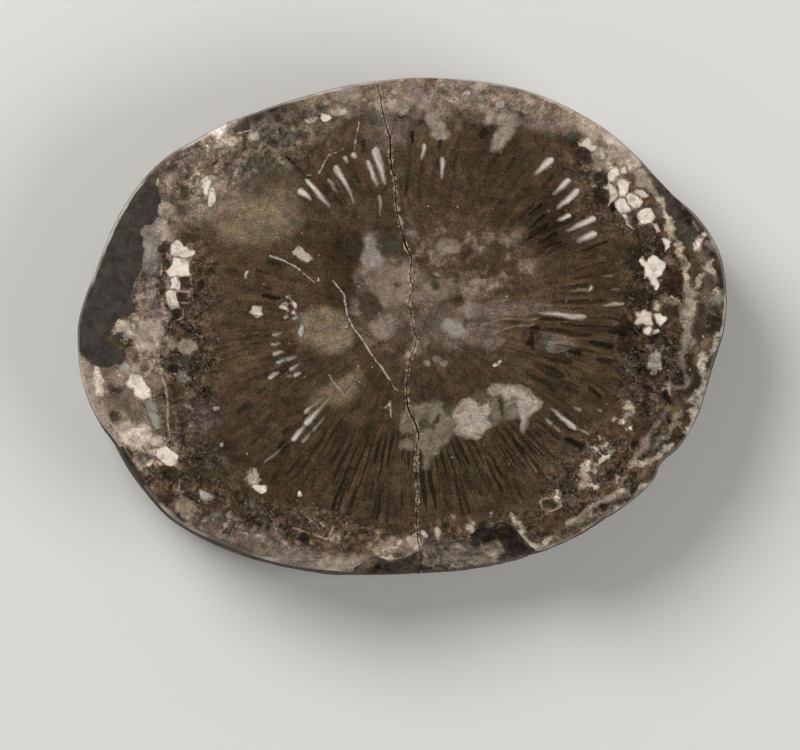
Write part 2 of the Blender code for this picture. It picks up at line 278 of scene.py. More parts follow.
# Healed patches near the axis and the crack: corners, mineral
cloudOutlines = [
    ([(4.5, -8.7), (4.8, -7.6), (5.5, -6.9), (6.1, -6.6), (6.5, -6.9), (6.9, -7.2), (7.5, -7.0),
      (7.9, -6.7), (8.0, -7.3), (8.0, -8.2), (7.9, -9.1), (7.6, -9.8), (6.9, -10.3), (5.8, -10.3),
      (5.0, -10.0), (4.5, -9.4)], "blotch"),
    ([(7.7, -6.1), (8.3, -5.6), (9.1, -5.3), (10.0, -5.5), (10.8, -5.7), (11.5, -6.0), (12.2, -6.6),
      (12.6, -7.1), (12.3, -7.8), (11.7, -8.2), (11.3, -8.4), (11.3, -9.4), (11.0, -9.7), (10.8, -9.0),
      (10.6, -8.4), (10.0, -8.6), (9.3, -8.2), (9.1, -7.6), (9.4, -7.0), (9.2, -6.5), (8.6, -6.3),
      (8.1, -6.7)], "blotch"),
    ([(0.1, -8.0), (1.1, -7.3), (2.5, -7.0), (3.9, -7.2), (4.5, -7.8), (4.5, -9.6), (4.0, -10.5),
      (3.8, -11.1), (3.0, -11.9), (2.5, -12.1), (2.3, -13.2), (2.0, -13.2), (2.0, -12.1), (1.4, -11.2),
      (1.2, -10.1), (2.0, -9.6), (2.0, -8.5), (0.9, -8.3)], "greenPale"),
    ([(8.0, -6.9), (8.5, -6.5), (9.2, -6.7), (9.3, -7.1), (9.0, -7.6), (9.2, -8.2), (9.0, -8.9),
      (8.3, -9.2), (8.0, -8.4)], "swirl"),
    ([(-2.3, 5.1), (-1.3, 5.4), (-0.4, 5.3), (0.4, 5.6), (0.8, 4.9), (0.9, 3.8), (0.7, 2.9), (0.5, 2.2),
      (-0.4, 2.0), (-1.5, 1.5), (-2.0, 2.1), (-2.7, 3.0), (-2.9, 3.7), (-2.4, 4.3)], "buff"),
    ([(1.2, 5.0), (2.3, 4.4), (2.9, 3.9), (3.9, 4.3), (4.6, 4.0), (4.9, 3.0), (4.2, 2.2), (3.2, 2.0),
      (2.3, 2.6), (1.4, 2.5), (1.3, 3.6)], "buffDark"),
    ([(-3.4, 7.9), (-2.9, 8.3), (-2.4, 8.0), (-2.2, 7.3), (-2.4, 6.8), (-1.9, 6.4), (-1.6, 5.9),
      (-2.0, 5.5), (-2.5, 5.0), (-3.0, 5.1), (-3.5, 5.6), (-3.8, 6.1), (-3.6, 6.7), (-3.2, 7.2)], "lilac"),
    ([(-1.9, 7.9), (-1.2, 8.4), (-0.5, 8.3), (-0.2, 7.6), (-0.4, 6.8), (-1.1, 6.5), (-1.8, 6.8)], "lichen"),
    ([(3.6, 7.9), (4.6, 7.7), (5.3, 7.4), (5.2, 6.7), (4.4, 6.3), (3.4, 6.6), (3.0, 7.2)], "buffRose"),
    ([(-2.6, 0.2), (-1.9, 0.4), (-1.0, -0.1), (-0.8, -0.9), (-1.4, -1.5), (-2.5, -1.4), (-2.9, -0.6)],
     "buffRose"),
    ([(3.9, 0.3), (5.0, 0.5), (5.5, 0.0), (6.2, -0.5), (5.4, -1.2), (4.2, -1.1), (3.6, -0.4)], "greyPale"),
    ([(4.8, 1.2), (5.8, 1.9), (7.2, 1.7), (7.0, 0.9), (5.9, 0.7)], "buffRose"),
]

# Smaller cloudy patches by mineral, each over those before it: middle, half sizes, tilt
cloudyPatches = each(
    ("topBlotch", [
        (8.8, 16.8, 0.6, 0.7), (9.6, 18.7, 1.09, 0.55), (8.6, 16.3, 0.5, 0.5, -20), (3.1, 18.1, 0.8, 0.55),
        (3.4, 17.3, 0.9, 0.45), (2.7, 18.8, 0.5, 0.6), (9.4, 17.7, 0.8, 0.8, -40), (10.0, 18.6, 0.55, 0.55),
        (8.0, 18.8, 0.55, 0.55), (2.0, 20.0, 0.55, 0.35), (-5.2, 21.1, 1.4, 0.75),
    ]),
    ("blotch", [
        (3.2, -3.2, 0.23, 0.23), (2.3, -3.5, 0.23, 0.23), (3.8, -3.6, 0.27, 0.18), (0.6, -2.8, 0.27, 0.27),
    ]),
    ("sienna", [
        (-0.3, 3.6, 0.25, 0.25), (2.0, 5.2, 0.7, 0.18, -35), (3.0, 4.8, 0.6, 0.18, -30),
        (3.8, 5.0, 0.18, 0.5, -10),
    ]),
    ("blotchPale", [(10.6, -6.4, 1.3, 0.4, -15), (11.9, -7.2, 0.45, 0.6), (6.2, -9.6, 0.9, 0.4, -8)]),
    ("greenPale", [(0.5, -9.0, 0.7, 1.1), (0.4, -11.0, 0.7, 0.6)]),
    ("blotchSage", [
        (9.9, -7.7, 0.85, 1.0), (3.2, -10.9, 0.6, 0.5, 30), (4.6, -9.0, 0.3, 0.5), (1.2, -8.4, 0.5, 0.3),
    ]),
    ("blotchRose", [(6.9, -8.6, 0.9, 0.6), (11.2, -7.0, 0.7, 0.7)]),
    ("drab", [(3.1, -8.7, 0.26, 0.65, -10), (9.1, -7.4, 0.22, 0.75, 5)]),
    ("moss", [(2.2, -9.1, 0.32, 0.6, 10), (2.8, -9.5, 0.5, 0.3), (4.1, -7.9, 0.4, 0.6, 20)]),
    ("lichen", [(2.9, 3.5, 0.45, 0.4), (5.8, 0.1, 0.4, 0.6)]),
    ("walnut", [(7.1, -6.65, 0.62, 0.58)]),
)

# Larger patches of the rind and the chip: corners, colour
rindOutlines = [
    ([(17.0, 18.1), (19.0, 17.4), (20.9, 15.7), (21.3, 15.0), (22.0, 13.9), (22.7, 12.8), (23.4, 11.8),
      (24.0, 10.6), (24.5, 9.5), (24.9, 8.1), (24.3, 7.7), (23.7, 9.0), (23.6, 10.4), (23.0, 11.6),
      (22.0, 12.7), (21.2, 13.6), (20.5, 15.0), (19.3, 15.0), (18.4, 14.5), (17.8, 14.0), (17.0, 14.7),
      (17.2, 15.9), (16.6, 16.8)], "ivory"),
    ([(21.0, 15.9), (21.3, 15.2), (21.9, 14.4), (22.4, 13.7), (22.7, 13.0), (23.2, 12.3), (23.6, 11.7),
      (24.0, 11.0), (24.2, 10.2), (24.5, 9.6), (24.9, 8.9), (25.3, 8.1), (25.6, 7.3), (26.6, 8.0),
      (27.7, 8.4), (26.5, 10.3), (24.4, 12.4), (22.9, 14.0), (21.3, 15.8)], "dusk"),
    ([(-23.8, 8.4), (-22.6, 8.8), (-22.1, 8.6), (-22.1, 7.3), (-22.3, 6.0), (-22.4, 5.2), (-22.9, 4.7),
      (-23.9, 4.8), (-23.7, 6.0), (-23.9, 7.7)], "smoky"),
    ([(-22.2, 11.3), (-21.2, 11.4), (-20.8, 10.2), (-21.2, 9.4), (-21.3, 8.2), (-20.7, 7.5), (-21.9, 7.6),
      (-22.1, 8.6)], "ivory"),
    ([(-29.2, -3.6), (-28.3, -3.8), (-27.6, -4.4), (-27.2, -5.6), (-27.0, -7.2), (-26.5, -8.6),
      (-26.4, -9.6), (-27.2, -9.2), (-28.6, -6.8)], "petal"),
    ([(-26.9, -5.6), (-25.4, -5.4), (-24.6, -6.2), (-24.0, -7.0), (-23.9, -7.9), (-25.0, -8.3),
      (-26.4, -7.6)], "cocoa"),
    ([(-26.3, -9.2), (-25.0, -8.8), (-23.6, -9.0), (-22.9, -9.9), (-22.8, -11.0), (-24.0, -11.4),
      (-25.3, -11.1), (-26.2, -10.2)], "peachy"),
    ([(-26.4, 0.0), (-25.4, 0.5), (-24.3, 0.2), (-24.2, -0.8), (-25.2, -1.6), (-26.4, -1.4)], "bone"),
    ([(21.3, -15.7), (22.1, -15.1), (22.8, -14.2), (22.3, -14.1), (21.6, -14.7), (21.2, -15.2)], "ivory"),
    ([(-24.0, -0.2), (-23.0, 0.4), (-22.0, 0.0), (-21.6, -1.2), (-22.3, -2.2), (-23.6, -2.3),
      (-24.6, -1.6)], "ivory"),
    ([(2.4, -19.9), (4.4, -20.0), (6.2, -19.8), (8.5, -19.5), (9.2, -20.3), (8.8, -21.4), (6.0, -22.0),
      (3.2, -22.3), (1.9, -21.9), (2.0, -20.8)], "clay"),
    # partly dark mud, partly painted shadow in the chip's pocket just below the face's edge
    ([(5.9, -19.3), (6.6, -18.6), (8.0, -18.3), (9.2, -18.6), (8.9, -19.4), (7.9, -19.7), (7.2, -20.2),
      (6.3, -20.1)], "mud"),
    ([(9.0, -19.2), (10.2, -19.0), (11.0, -19.8), (11.6, -20.6), (10.2, -21.3), (9.2, -21.0),
      (8.9, -20.0)], "purple"),
    ([(-0.4, -21.3), (0.8, -21.1), (1.6, -21.5), (1.4, -22.5), (-0.4, -22.6)], "moss"),
    ([(-1.7, -21.8), (-0.6, -21.7), (-0.1, -22.2), (-0.6, -22.8), (-1.9, -22.7)], "mud"),
]

# Patches of the bubbly zone and the rind by colour, each over those before it: middle, half sizes, tilt
rindPatches = each(
    ("olive", [
        (21.7, 2.5, 0.8, 0.9), (17.9, 11.6, 0.75, 0.75), (7.5, 17.4, 0.35, 0.55), (-21.3, -13.5, 0.9, 0.9),
        (-25.0, -11.8, 0.65, 0.75), (-21.6, 5.4, 0.55, 0.65), (-21.9, 3.5, 0.35, 0.8),
    ]),
    ("rose", [
        (21.9, -11.0, 0.55, 0.75, -20), (-16.4, 12.2, 0.35, 0.75), (-28.2, -4.4, 0.3, 0.7, 15),
        (-22.2, -5.0, 0.55, 0.8), (-22.2, 1.0, 0.55, 0.55),
    ]),
    ("ochre", [
        (20.9, 12.8, 0.25, 0.75), (22.1, 11.2, 0.9, 0.25, 15), (24.8, -8.0, 0.55, 0.35, 40),
        (18.7, -15.0, 0.65, 0.45),
    ]),
    ("rust", [
        (20.6, 13.6, 0.55, 0.25, -30), (23.7, 8.4, 0.75, 0.25, -35), (15.7, -19.0, 0.65, 0.25, 20),
        (2.8, 22.2, 0.45, 0.2), (-17.7, 14.0, 0.55, 0.55), (22.9, 0.4, 0.3, 0.75),
    ]),
    ("sienna", [
        (19.1, -9.5, 0.9, 0.8), (13.9, -17.9, 1.1, 0.55, 10), (5.2, -18.1, 0.8, 0.35),
        (-17.6, -16.8, 0.75, 0.45),
    ]),
    ("moss", [
        (15.6, 17.3, 0.55, 0.45), (25.4, 8.2, 0.6, 0.35, -50), (26.2, 7.6, 0.7, 0.6),
        (27.0, -6.2, 0.45, 1.1, -15), (23.0, -10.9, 0.35, 0.55), (15.2, -18.1, 0.55, 0.35, 20),
        (6.8, -19.9, 0.35, 0.25, 30), (3.4, -21.9, 0.45, 0.25), (-7.5, 19.7, 0.45, 0.35),
        (-14.3, 14.2, 0.9, 0.55, 30), (-26.0, -1.3, 0.75, 0.5, 25), (-19.9, -3.3, 0.55, 0.45),
        (13.2, -1.8, 0.75, 0.75),
    ]),
    ("slate", [(-22.9, 6.5, 0.55, 1.65), (13.7, -2.0, 0.25, 0.55)]),
    ("pink", [(26.2, 2.8, 0.55, 0.55)]),
    ("sage", [(28.5, 2.4, 0.6, 0.8)]),
    ("bone", [
        (16.8, 16.5, 0.65, 0.45, -20), (17.5, 16.0, 0.45, 0.35), (27.1, 4.0, 0.35, 0.75, -20),
        (28.0, 5.2, 0.45, 0.55), (28.5, 3.0, 0.35, 0.25), (27.3, -3.4, 0.4, 1.0, -5),
        (19.2, -8.5, 0.25, 0.2), (24.4, -6.0, 0.15, 0.65), (16.7, -13.0, 0.45, 0.45),
        (17.6, -13.2, 0.2, 0.45, 5), (18.9, -11.4, 0.2, 0.2), (19.5, -14.0, 0.25, 0.35, -30),
        (19.9, -15.4, 0.35, 0.35), (19.6, -16.6, 0.35, 0.15, 10), (13.1, -19.7, 0.45, 0.25, 10),
        (12.2, -20.1, 0.75, 0.25, 5), (3.4, -19.0, 0.25, 0.55, 10), (0.9, -19.7, 0.35, 0.45),
        (1.4, -20.3, 0.25, 0.35), (-1.3, -21.2, 0.65, 0.2, 5), (-2.1, -20.9, 0.2, 0.15),
        (6.4, -18.5, 0.35, 0.35, 30), (8.2, -17.1, 0.15, 0.2), (-15.8, -17.4, 0.1, 0.25),
        (-15.9, -18.2, 0.25, 0.15), (-14.0, -19.2, 0.25, 0.15, -20), (-13.0, -19.4, 0.25, 0.1, -20),
        (-11.6, -18.6, 0.2, 0.15, -40), (-6.4, -19.3, 0.25, 0.45), (-5.7, -19.4, 0.15, 0.25),
        (-7.2, -18.1, 0.25, 0.1, -30), (-17.9, -15.6, 0.55, 0.35, -30), (0.2, 20.0, 0.45, 0.35),
        (-1.0, 20.0, 0.45, 0.35), (0.1, 19.3, 0.25, 0.25), (-0.6, 21.2, 0.3, 0.2, 10),
        (-8.3, 18.65, 0.55, 0.22, 15), (-5.8, 19.4, 0.75, 0.35, 15), (-15.5, 16.6, 0.65, 0.45),
        (-13.5, 17.1, 0.35, 0.45), (-15.0, 14.0, 0.35, 0.2, 60), (-24.3, -4.1, 0.7, 0.5),
        (-23.7, 0.0, 0.25, 0.45), (-13.6, -14.0, 0.6, 0.7), (-22.2, -10.6, 0.8, 0.35),
    ]),
    ("pearl", [
        (27.1, 7.4, 0.35, 0.6, -15), (-27.7, -5.2, 0.45, 1.3, 10), (-13.3, -14.4, 0.25, 0.3),
        (-24.4, -9.9, 0.7, 0.5), (-23.9, -10.3, 0.7, 0.5), (27.3, -3.4, 0.35, 0.9, -5),
    ]),
    ("peach", [(16.6, -13.8, 0.55, 0.45), (16.4, -14.6, 0.45, 0.35), (16.1, -15.3, 0.1, 0.35)]),
    ("mud", [
        (19.2, 10.8, 0.35, 0.55), (26.1, 9.3, 0.4, 0.2, -30), (28.2, 6.2, 0.2, 0.25),
        (28.7, 5.2, 0.1, 0.65, 8), (29.0, 4.7, 0.25, 0.15), (29.1, 3.3, 0.2, 0.25),
        (26.6, -8.5, 0.25, 0.6, -30), (25.7, -9.9, 0.25, 0.6, -40), (23.9, -6.6, 0.35, 0.65),
        (21.5, -4.2, 0.2, 0.2), (19.9, -5.3, 0.15, 0.15), (19.4, -6.6, 0.15, 0.15),
        (20.9, -11.0, 0.35, 0.35), (27.0, -7.5, 0.15, 0.25), (25.3, -10.3, 0.25, 0.15, 20),
        (20.9, -15.3, 0.28, 0.75, -15), (14.7, -15.4, 0.35, 0.3), (10.9, -20.1, 0.25, 0.25),
        (11.7, -1.4, 0.4, 1.0), (12.2, -0.4, 0.55, 0.25),
    ]),
    ("redMud", [
        (28.5, 5.3, 0.15, 0.8, 10), (29.0, 3.5, 0.2, 0.3), (-16.0, -18.9, 0.35, 0.2, 10),
        (-11.9, 16.6, 0.55, 0.2, 15), (-11.3, 19.7, 0.75, 0.2, 20), (-21.6, 7.0, 0.45, 0.65),
    ]),
    ("purple", [(25.6, 10.0, 0.5, 0.3, -45), (20.3, -16.0, 0.4, 0.25, 30), (-8.8, -19.5, 0.7, 0.5, -10)]),
    ("umber", [
        (24.9, 3.2, 0.7, 1.9, -5), (20.3, -1.0, 0.9, 1.8), (27.9, 0.1, 0.8, 1.0), (22.9, -4.0, 1.0, 1.2),
        (15.5, 16.5, 0.65, 0.45, -20), (28.5, 0.3, 0.35, 0.45), (28.7, 0.9, 0.15, 0.35),
        (26.3, -5.9, 0.55, 0.25, 35), (22.4, -5.9, 0.45, 0.35), (24.3, -8.7, 0.35, 0.25, 50),
        (18.2, -16.6, 0.35, 0.15), (13.0, -19.0, 0.45, 0.25), (5.0, -21.4, 0.25, 0.15, 20),
        (6.5, 18.0, 0.35, 0.25), (-17.0, 14.6, 0.2, 0.2), (-26.0, -6.0, 0.7, 0.4),
        (-26.4, -9.4, 0.5, 0.2, -35), (-26.6, -9.6, 0.3, 0.4), (-21.3, -3.6, 0.65, 0.8),
        (-20.4, 1.0, 0.55, 0.55),
    ]),
    ("drab", [
        (24.6, 0.9, 0.65, 0.65), (21.3, -9.1, 0.55, 0.9), (13.3, -16.3, 0.75, 0.45),
        (-10.1, 18.2, 0.75, 0.45), (-19.7, 12.0, 0.55, 0.75), (-20.7, -6.0, 0.9, 0.75),
        (-18.0, -13.5, 1.65, 0.65), (-19.4, 7.9, 0.75, 0.35, 20),
    ]),
    ("fawn", [
        (26.6, 8.9, 0.5, 0.2, -50), (28.1, 7.2, 0.35, 0.7, 25), (28.5, 4.1, 0.2, 0.4, 10),
        (24.6, 2.0, 0.55, 0.35), (26.0, 0.7, 0.65, 1.0), (24.1, -11.1, 0.55, 0.25, 20),
        (-19.9, -4.7, 0.55, 0.45),
    ]),
    ("grey", [(22.9, -3.4, 0.55, 1.0, -15)]),
    ("cocoa", [
        (18.1, 16.6, 0.75, 0.45, -35), (23.0, 10.1, 0.55, 0.55), (21.8, 9.4, 0.35, 0.55, -40),
        (24.0, 5.8, 0.75, 0.45), (-6.6, -20.1, 0.75, 0.25), (8.6, 20.1, 0.75, 0.35),
        (10.2, 19.4, 0.65, 0.35, -20), (5.7, 19.0, 0.25, 0.2), (1.3, 19.3, 0.65, 0.45),
        (-0.6, 19.1, 0.55, 0.35), (4.1, 20.0, 0.55, 0.35), (4.8, 18.3, 0.55, 0.55), (5.0, 21.0, 0.25, 0.2),
        (-17.0, 15.9, 0.35, 0.25), (-17.9, 16.7, 0.25, 0.25), (-27.4, -7.0, 0.35, 0.3),
        (-23.3, -3.8, 0.45, 0.55), (-18.2, 11.3, 0.35, 0.35), (-10.2, 10.7, 0.75, 0.8),
    ]),
    ("dusk", [
        (26.1, -2.0, 0.45, 0.8), (27.0, -1.2, 0.8, 0.45, 10), (26.8, -4.5, 0.25, 0.65, 10),
        (11.1, 18.9, 0.45, 0.35, -40), (-14.3, 18.0, 0.8, 0.45, 15), (-11.6, 17.3, 0.45, 0.25),
        (-21.1, 14.5, 0.75, 0.25, 30),
    ]),
    ("white", [
        (18.3, 15.5, 0.35, 0.35, -30), (27.5, 8.3, 0.2, 0.2), (27.4, -1.0, 0.1, 0.1),
        (20.0, -8.9, 0.25, 0.15, -10), (20.5, -9.4, 0.15, 0.1), (25.9, -9.6, 0.25, 0.2, 40),
        (16.7, -12.6, 0.15, 0.25), (17.4, -14.7, 0.35, 0.2, -30), (18.1, -10.2, 0.15, 0.1),
        (17.7, -11.3, 0.25, 0.15), (18.4, -11.0, 0.2, 0.15), (18.5, -12.0, 0.35, 0.15, 20),
        (17.9, -12.3, 0.15, 0.2), (14.0, -15.5, 0.15, 0.35, -10), (2.0, -19.0, 0.25, 0.2),
        (5.9, -17.5, 0.1, 0.2), (6.0, 21.0, 0.25, 0.15), (-16.7, 17.8, 0.8, 0.55, 35),
        (-17.9, 12.8, 0.45, 0.55), (-17.2, 11.6, 0.25, 0.75),
    ]),
    ("plum", [
        (21.2, 5.9, 0.8, 0.6, 20), (16.5, 15.3, 0.9, 0.55, -30), (18.0, 13.4, 0.55, 0.45),
        (24.2, 12.1, 0.5, 0.25, -45), (24.5, 4.6, 0.75, 0.75), (22.0, -7.2, 0.25, 0.65, 15),
        (16.6, -16.4, 0.65, 0.35, 30), (-20.6, 15.1, 0.25, 0.45, -30), (-26.1, -8.3, 0.45, 0.5),
        (-21.7, -16.0, 0.75, 0.55), (-19.8, 3.9, 0.55, 0.65), (-19.9, 2.5, 0.45, 0.55),
    ]),
    ("sand", [
        (14.7, 18.2, 0.25, 0.55), (21.7, 13.0, 0.65, 0.65), (25.8, 5.2, 0.25, 0.55), (23.8, -6.0, 0.2, 0.2),
        (26.2, -9.0, 0.65, 0.45, 50), (19.0, -15.8, 0.75, 0.25, 15), (16.4, -17.5, 0.35, 0.45, -20),
        (-0.9, -19.6, 0.25, 0.35), (4.7, -17.5, 0.2, 0.25), (10.8, -18.9, 0.35, 0.35, -40),
        (-19.7, -16.7, 0.8, 1.1, 20), (-6.1, -21.6, 1.65, 0.35, 3), (-19.5, -2.0, 0.9, 0.65),
        (-20.8, -1.9, 0.45, 0.45), (-21.5, 8.5, 0.65, 0.8), (-19.3, 6.9, 0.45, 0.45),
        (-19.8, 5.4, 0.35, 0.65),
    ]),
    ("umber", [
        (25.2, 4.0, 0.35, 1.1), (23.8, 4.0, 0.25, 0.25), (26.0, -2.7, 0.25, 0.45), (-0.1, 18.9, 0.2, 0.2),
        (-20.4, -17.7, 0.75, 0.35, -20),
    ]),
    ("bone", [
        (23.2, -4.0, 0.3, 0.35), (-19.8, 5.6, 0.3, 0.6), (26.5, -1.9, 0.3, 0.7, -25),
        (28.0, 5.1, 0.4, 0.45),
    ]),
    ("tan", [(-19.6, -16.4, 0.5, 0.7, 20)]),
    ("cream", [
        (20.6, -7.6, 0.35, 0.45, -10), (6.9, 21.7, 0.55, 0.35), (-25.4, -4.0, 0.35, 0.5),
        (23.3, 1.7, 0.3, 0.35), (-19.4, 7.0, 0.4, 0.3),
    ]),
    ("mud", [
        (24.3, 3.8, 0.2, 0.2), (24.7, 3.2, 0.15, 0.35), (27.8, 0.0, 0.35, 0.2), (-8.7, -19.4, 0.35, 0.3),
    ]),
    ("cocoa", [(27.3, 0.4, 0.55, 0.8), (-20.5, 9.2, 0.75, 0.75)]),
    ("sand", [(20.4, -8.3, 0.25, 0.45, -20), (-20.8, 9.7, 0.35, 0.25)]),
    ("cream", [(20.5, -7.5, 0.35, 0.45, -10)]),
    ("mud", [(28.3, 0.5, 0.55, 0.4)]),
)

# Gaps packed with dark mud, placed like those filled with calcite
mudGaps = each(
    ("drab", [(43.2, 15.1, 16.3, 0.45, 0.3)]),
    ("umber", [
        (38.6, 14.4, 15.9, 0.3, 0.2), (346.4, 17.3, 18.8, 0.69, 0.2), (339.2, 17.8, 19.2, 0.2, -0.6),
        (320.3, 15.3, 17.7, 0.2), (316.8, 15.5, 16.2, 0.4), (318.3, 15.4, 16.4, 0.25),
        (315.0, 16.0, 18.5, 0.25), (312.9, 14.8, 17.7, 0.3, 0.2), (308.4, 16.2, 18.7, 0.25, 0.3),
        (306.7, 15.3, 17.5, 0.25), (302.6, 15.3, 17.3, 0.22, 0.2), (301.4, 17.5, 19.7, 0.3),
        (291.2, 15.6, 17.8, 0.22), (288.3, 15.2, 16.7, 0.25), (286.5, 15.2, 18.9, 0.3),
        (284.6, 15.1, 19.1, 0.34, 0.2), (280.6, 15.9, 17.8, 0.25), (267.3, 16.3, 17.4, 0.3),
        (259.2, 15.2, 19.0, 0.3), (257.3, 15.5, 17.3, 0.28), (255.7, 15.5, 17.6, 0.32),
        (252.4, 16.3, 19.1, 0.6, 0.1), (249.4, 14.7, 19.1, 0.3, 0.1), (246.2, 15.6, 16.9, 0.2),
        (240.0, 16.1, 18.5, 0.2), (222.7, 14.9, 16.0, 0.4), (209.0, 16.5, 18.0, 0.3, 0.2),
        (206.9, 14.7, 15.7, 0.28), (204.0, 12.2, 13.0, 0.35), (169.7, 12.8, 13.7, 0.25),
        (164.0, 13.1, 14.7, 0.25), (106.0, 15.3, 16.6, 0.5, -0.3), (92.6, 10.9, 11.8, 0.4, -1.0),
        (68.4, 17.2, 17.9, 0.6), (18.0, 16.0, 17.6, 0.2), (15.0, 15.6, 18.6, 0.18), (9.5, 14.9, 16.2, 0.2),
        (6.9, 14.6, 16.3, 0.2), (4.6, 14.1, 16.3, 0.2, 0.4), (2.0, 13.9, 15.6, 0.16, 0.3),
        (44.5, 17.0, 18.2, 0.3),
    ]),
    ("purple", [(359.2, 17.4, 19.1, 0.4, -0.6), (282.6, 14.8, 16.9, 0.25), (80.5, 15.0, 16.2, 0.4)]),
    ("redMud", [
        (356.7, 13.6, 19.1, 0.28, -0.4), (355.4, 13.6, 18.0, 0.28), (242.1, 12.0, 14.0, 0.4),
        (239.8, 12.2, 13.6, 0.28), (218.9, 16.5, 18.9, 0.4, 0.2), (24.0, 13.3, 14.7, 0.36, 0.6),
        (12.2, 15.2, 17.0, 0.5, 0.2),
    ]),
    ("mud", [
        (355.2, 17.9, 19.7, 0.5, -0.3), (351.3, 16.4, 18.7, 0.62, -0.4), (346.9, 14.6, 15.9, 0.62),
        (337.6, 17.4, 18.9, 0.44, -1.2), (321.3, 17.9, 19.8, 0.75, 0.9), (324.7, 15.4, 18.2, 0.16, -0.6),
        (311.4, 14.9, 17.0, 0.25), (309.4, 14.7, 16.0, 0.32), (305.0, 14.7, 16.7, 0.26),
        (299.4, 14.4, 16.9, 0.28), (297.2, 14.7, 18.2, 0.28), (260.5, 15.4, 19.1, 0.32, 0.1),
        (248.0, 14.7, 19.1, 0.34), (226.8, 16.0, 17.3, 0.42, -0.2), (225.0, 16.1, 17.2, 0.4),
        (172.7, 11.9, 13.7, 0.5, 0.1), (127.2, 15.9, 18.5, 0.34, 1.0), (89.7, 15.5, 16.7, 0.5),
        (40.3, 13.8, 15.6, 0.42, -0.4), (36.3, 13.2, 15.4, 0.4, 0.6), (34.2, 12.9, 14.4, 0.2, 0.2),
        (32.4, 12.5, 15.0, 0.5, 1.0), (29.2, 13.1, 15.4, 0.4, 0.3), (26.9, 13.6, 15.2, 0.34, -1.0),
        (20.5, 15.9, 19.1, 0.3, -0.2),
    ]),
    ("olive", [
        (345.6, 13.9, 14.5, 0.38), (332.7, 11.9, 14.2, 0.5, 0.4), (295.4, 15.9, 17.1, 0.38),
        (294.2, 15.4, 17.5, 0.3), (289.6, 15.1, 16.9, 0.25), (237.4, 16.1, 18.5, 0.3),
        (235.0, 15.9, 18.0, 0.22), (232.3, 16.1, 18.7, 0.34), (190.5, 13.2, 14.8, 0.3),
        (187.7, 13.7, 15.1, 0.25), (159.4, 12.6, 14.0, 0.55, 0.3), (56.4, 15.3, 17.2, 0.5),
        (74.0, 13.6, 15.0, 0.3), (61.0, 15.4, 16.8, 0.25),
    ]),
    ("plum", [(263.2, 16.0, 19.1, 0.4), (261.2, 16.5, 18.5, 0.2), (52.0, 15.4, 16.6, 0.25)]),
    ("sienna", [(109.0, 12.7, 14.5, 0.7)]),
)

# Boundary of the dark limestone grown onto the left side, closed outside the slice
matrixEdge = [
    (-22.8, 13.5), (-22.2, 12.6), (-22.2, 11.5), (-22.2, 10.0), (-23.0, 9.3), (-23.6, 8.4), (-23.7, 7.7),
    (-23.5, 6.8), (-23.5, 6.0), (-23.7, 4.9), (-24.4, 3.7), (-24.6, 3.1), (-24.5, 2.2), (-24.1, 1.2),
    (-24.8, 0.8), (-25.5, 0.9), (-25.8, 0.2), (-26.4, -0.3), (-26.8, -1.0), (-26.8, -1.5), (-26.1, -1.9),
    (-25.0, -2.5), (-25.0, -2.9), (-25.5, -3.4), (-26.4, -3.8), (-27.5, -4.0), (-28.4, -3.6), (-29.0, -2.9),
    (-29.7, -1.9), (-30.2, 0.4), (-29.8, 3.1), (-28.9, 6.8), (-27.0, 10.0), (-25.0, 12.2),
]

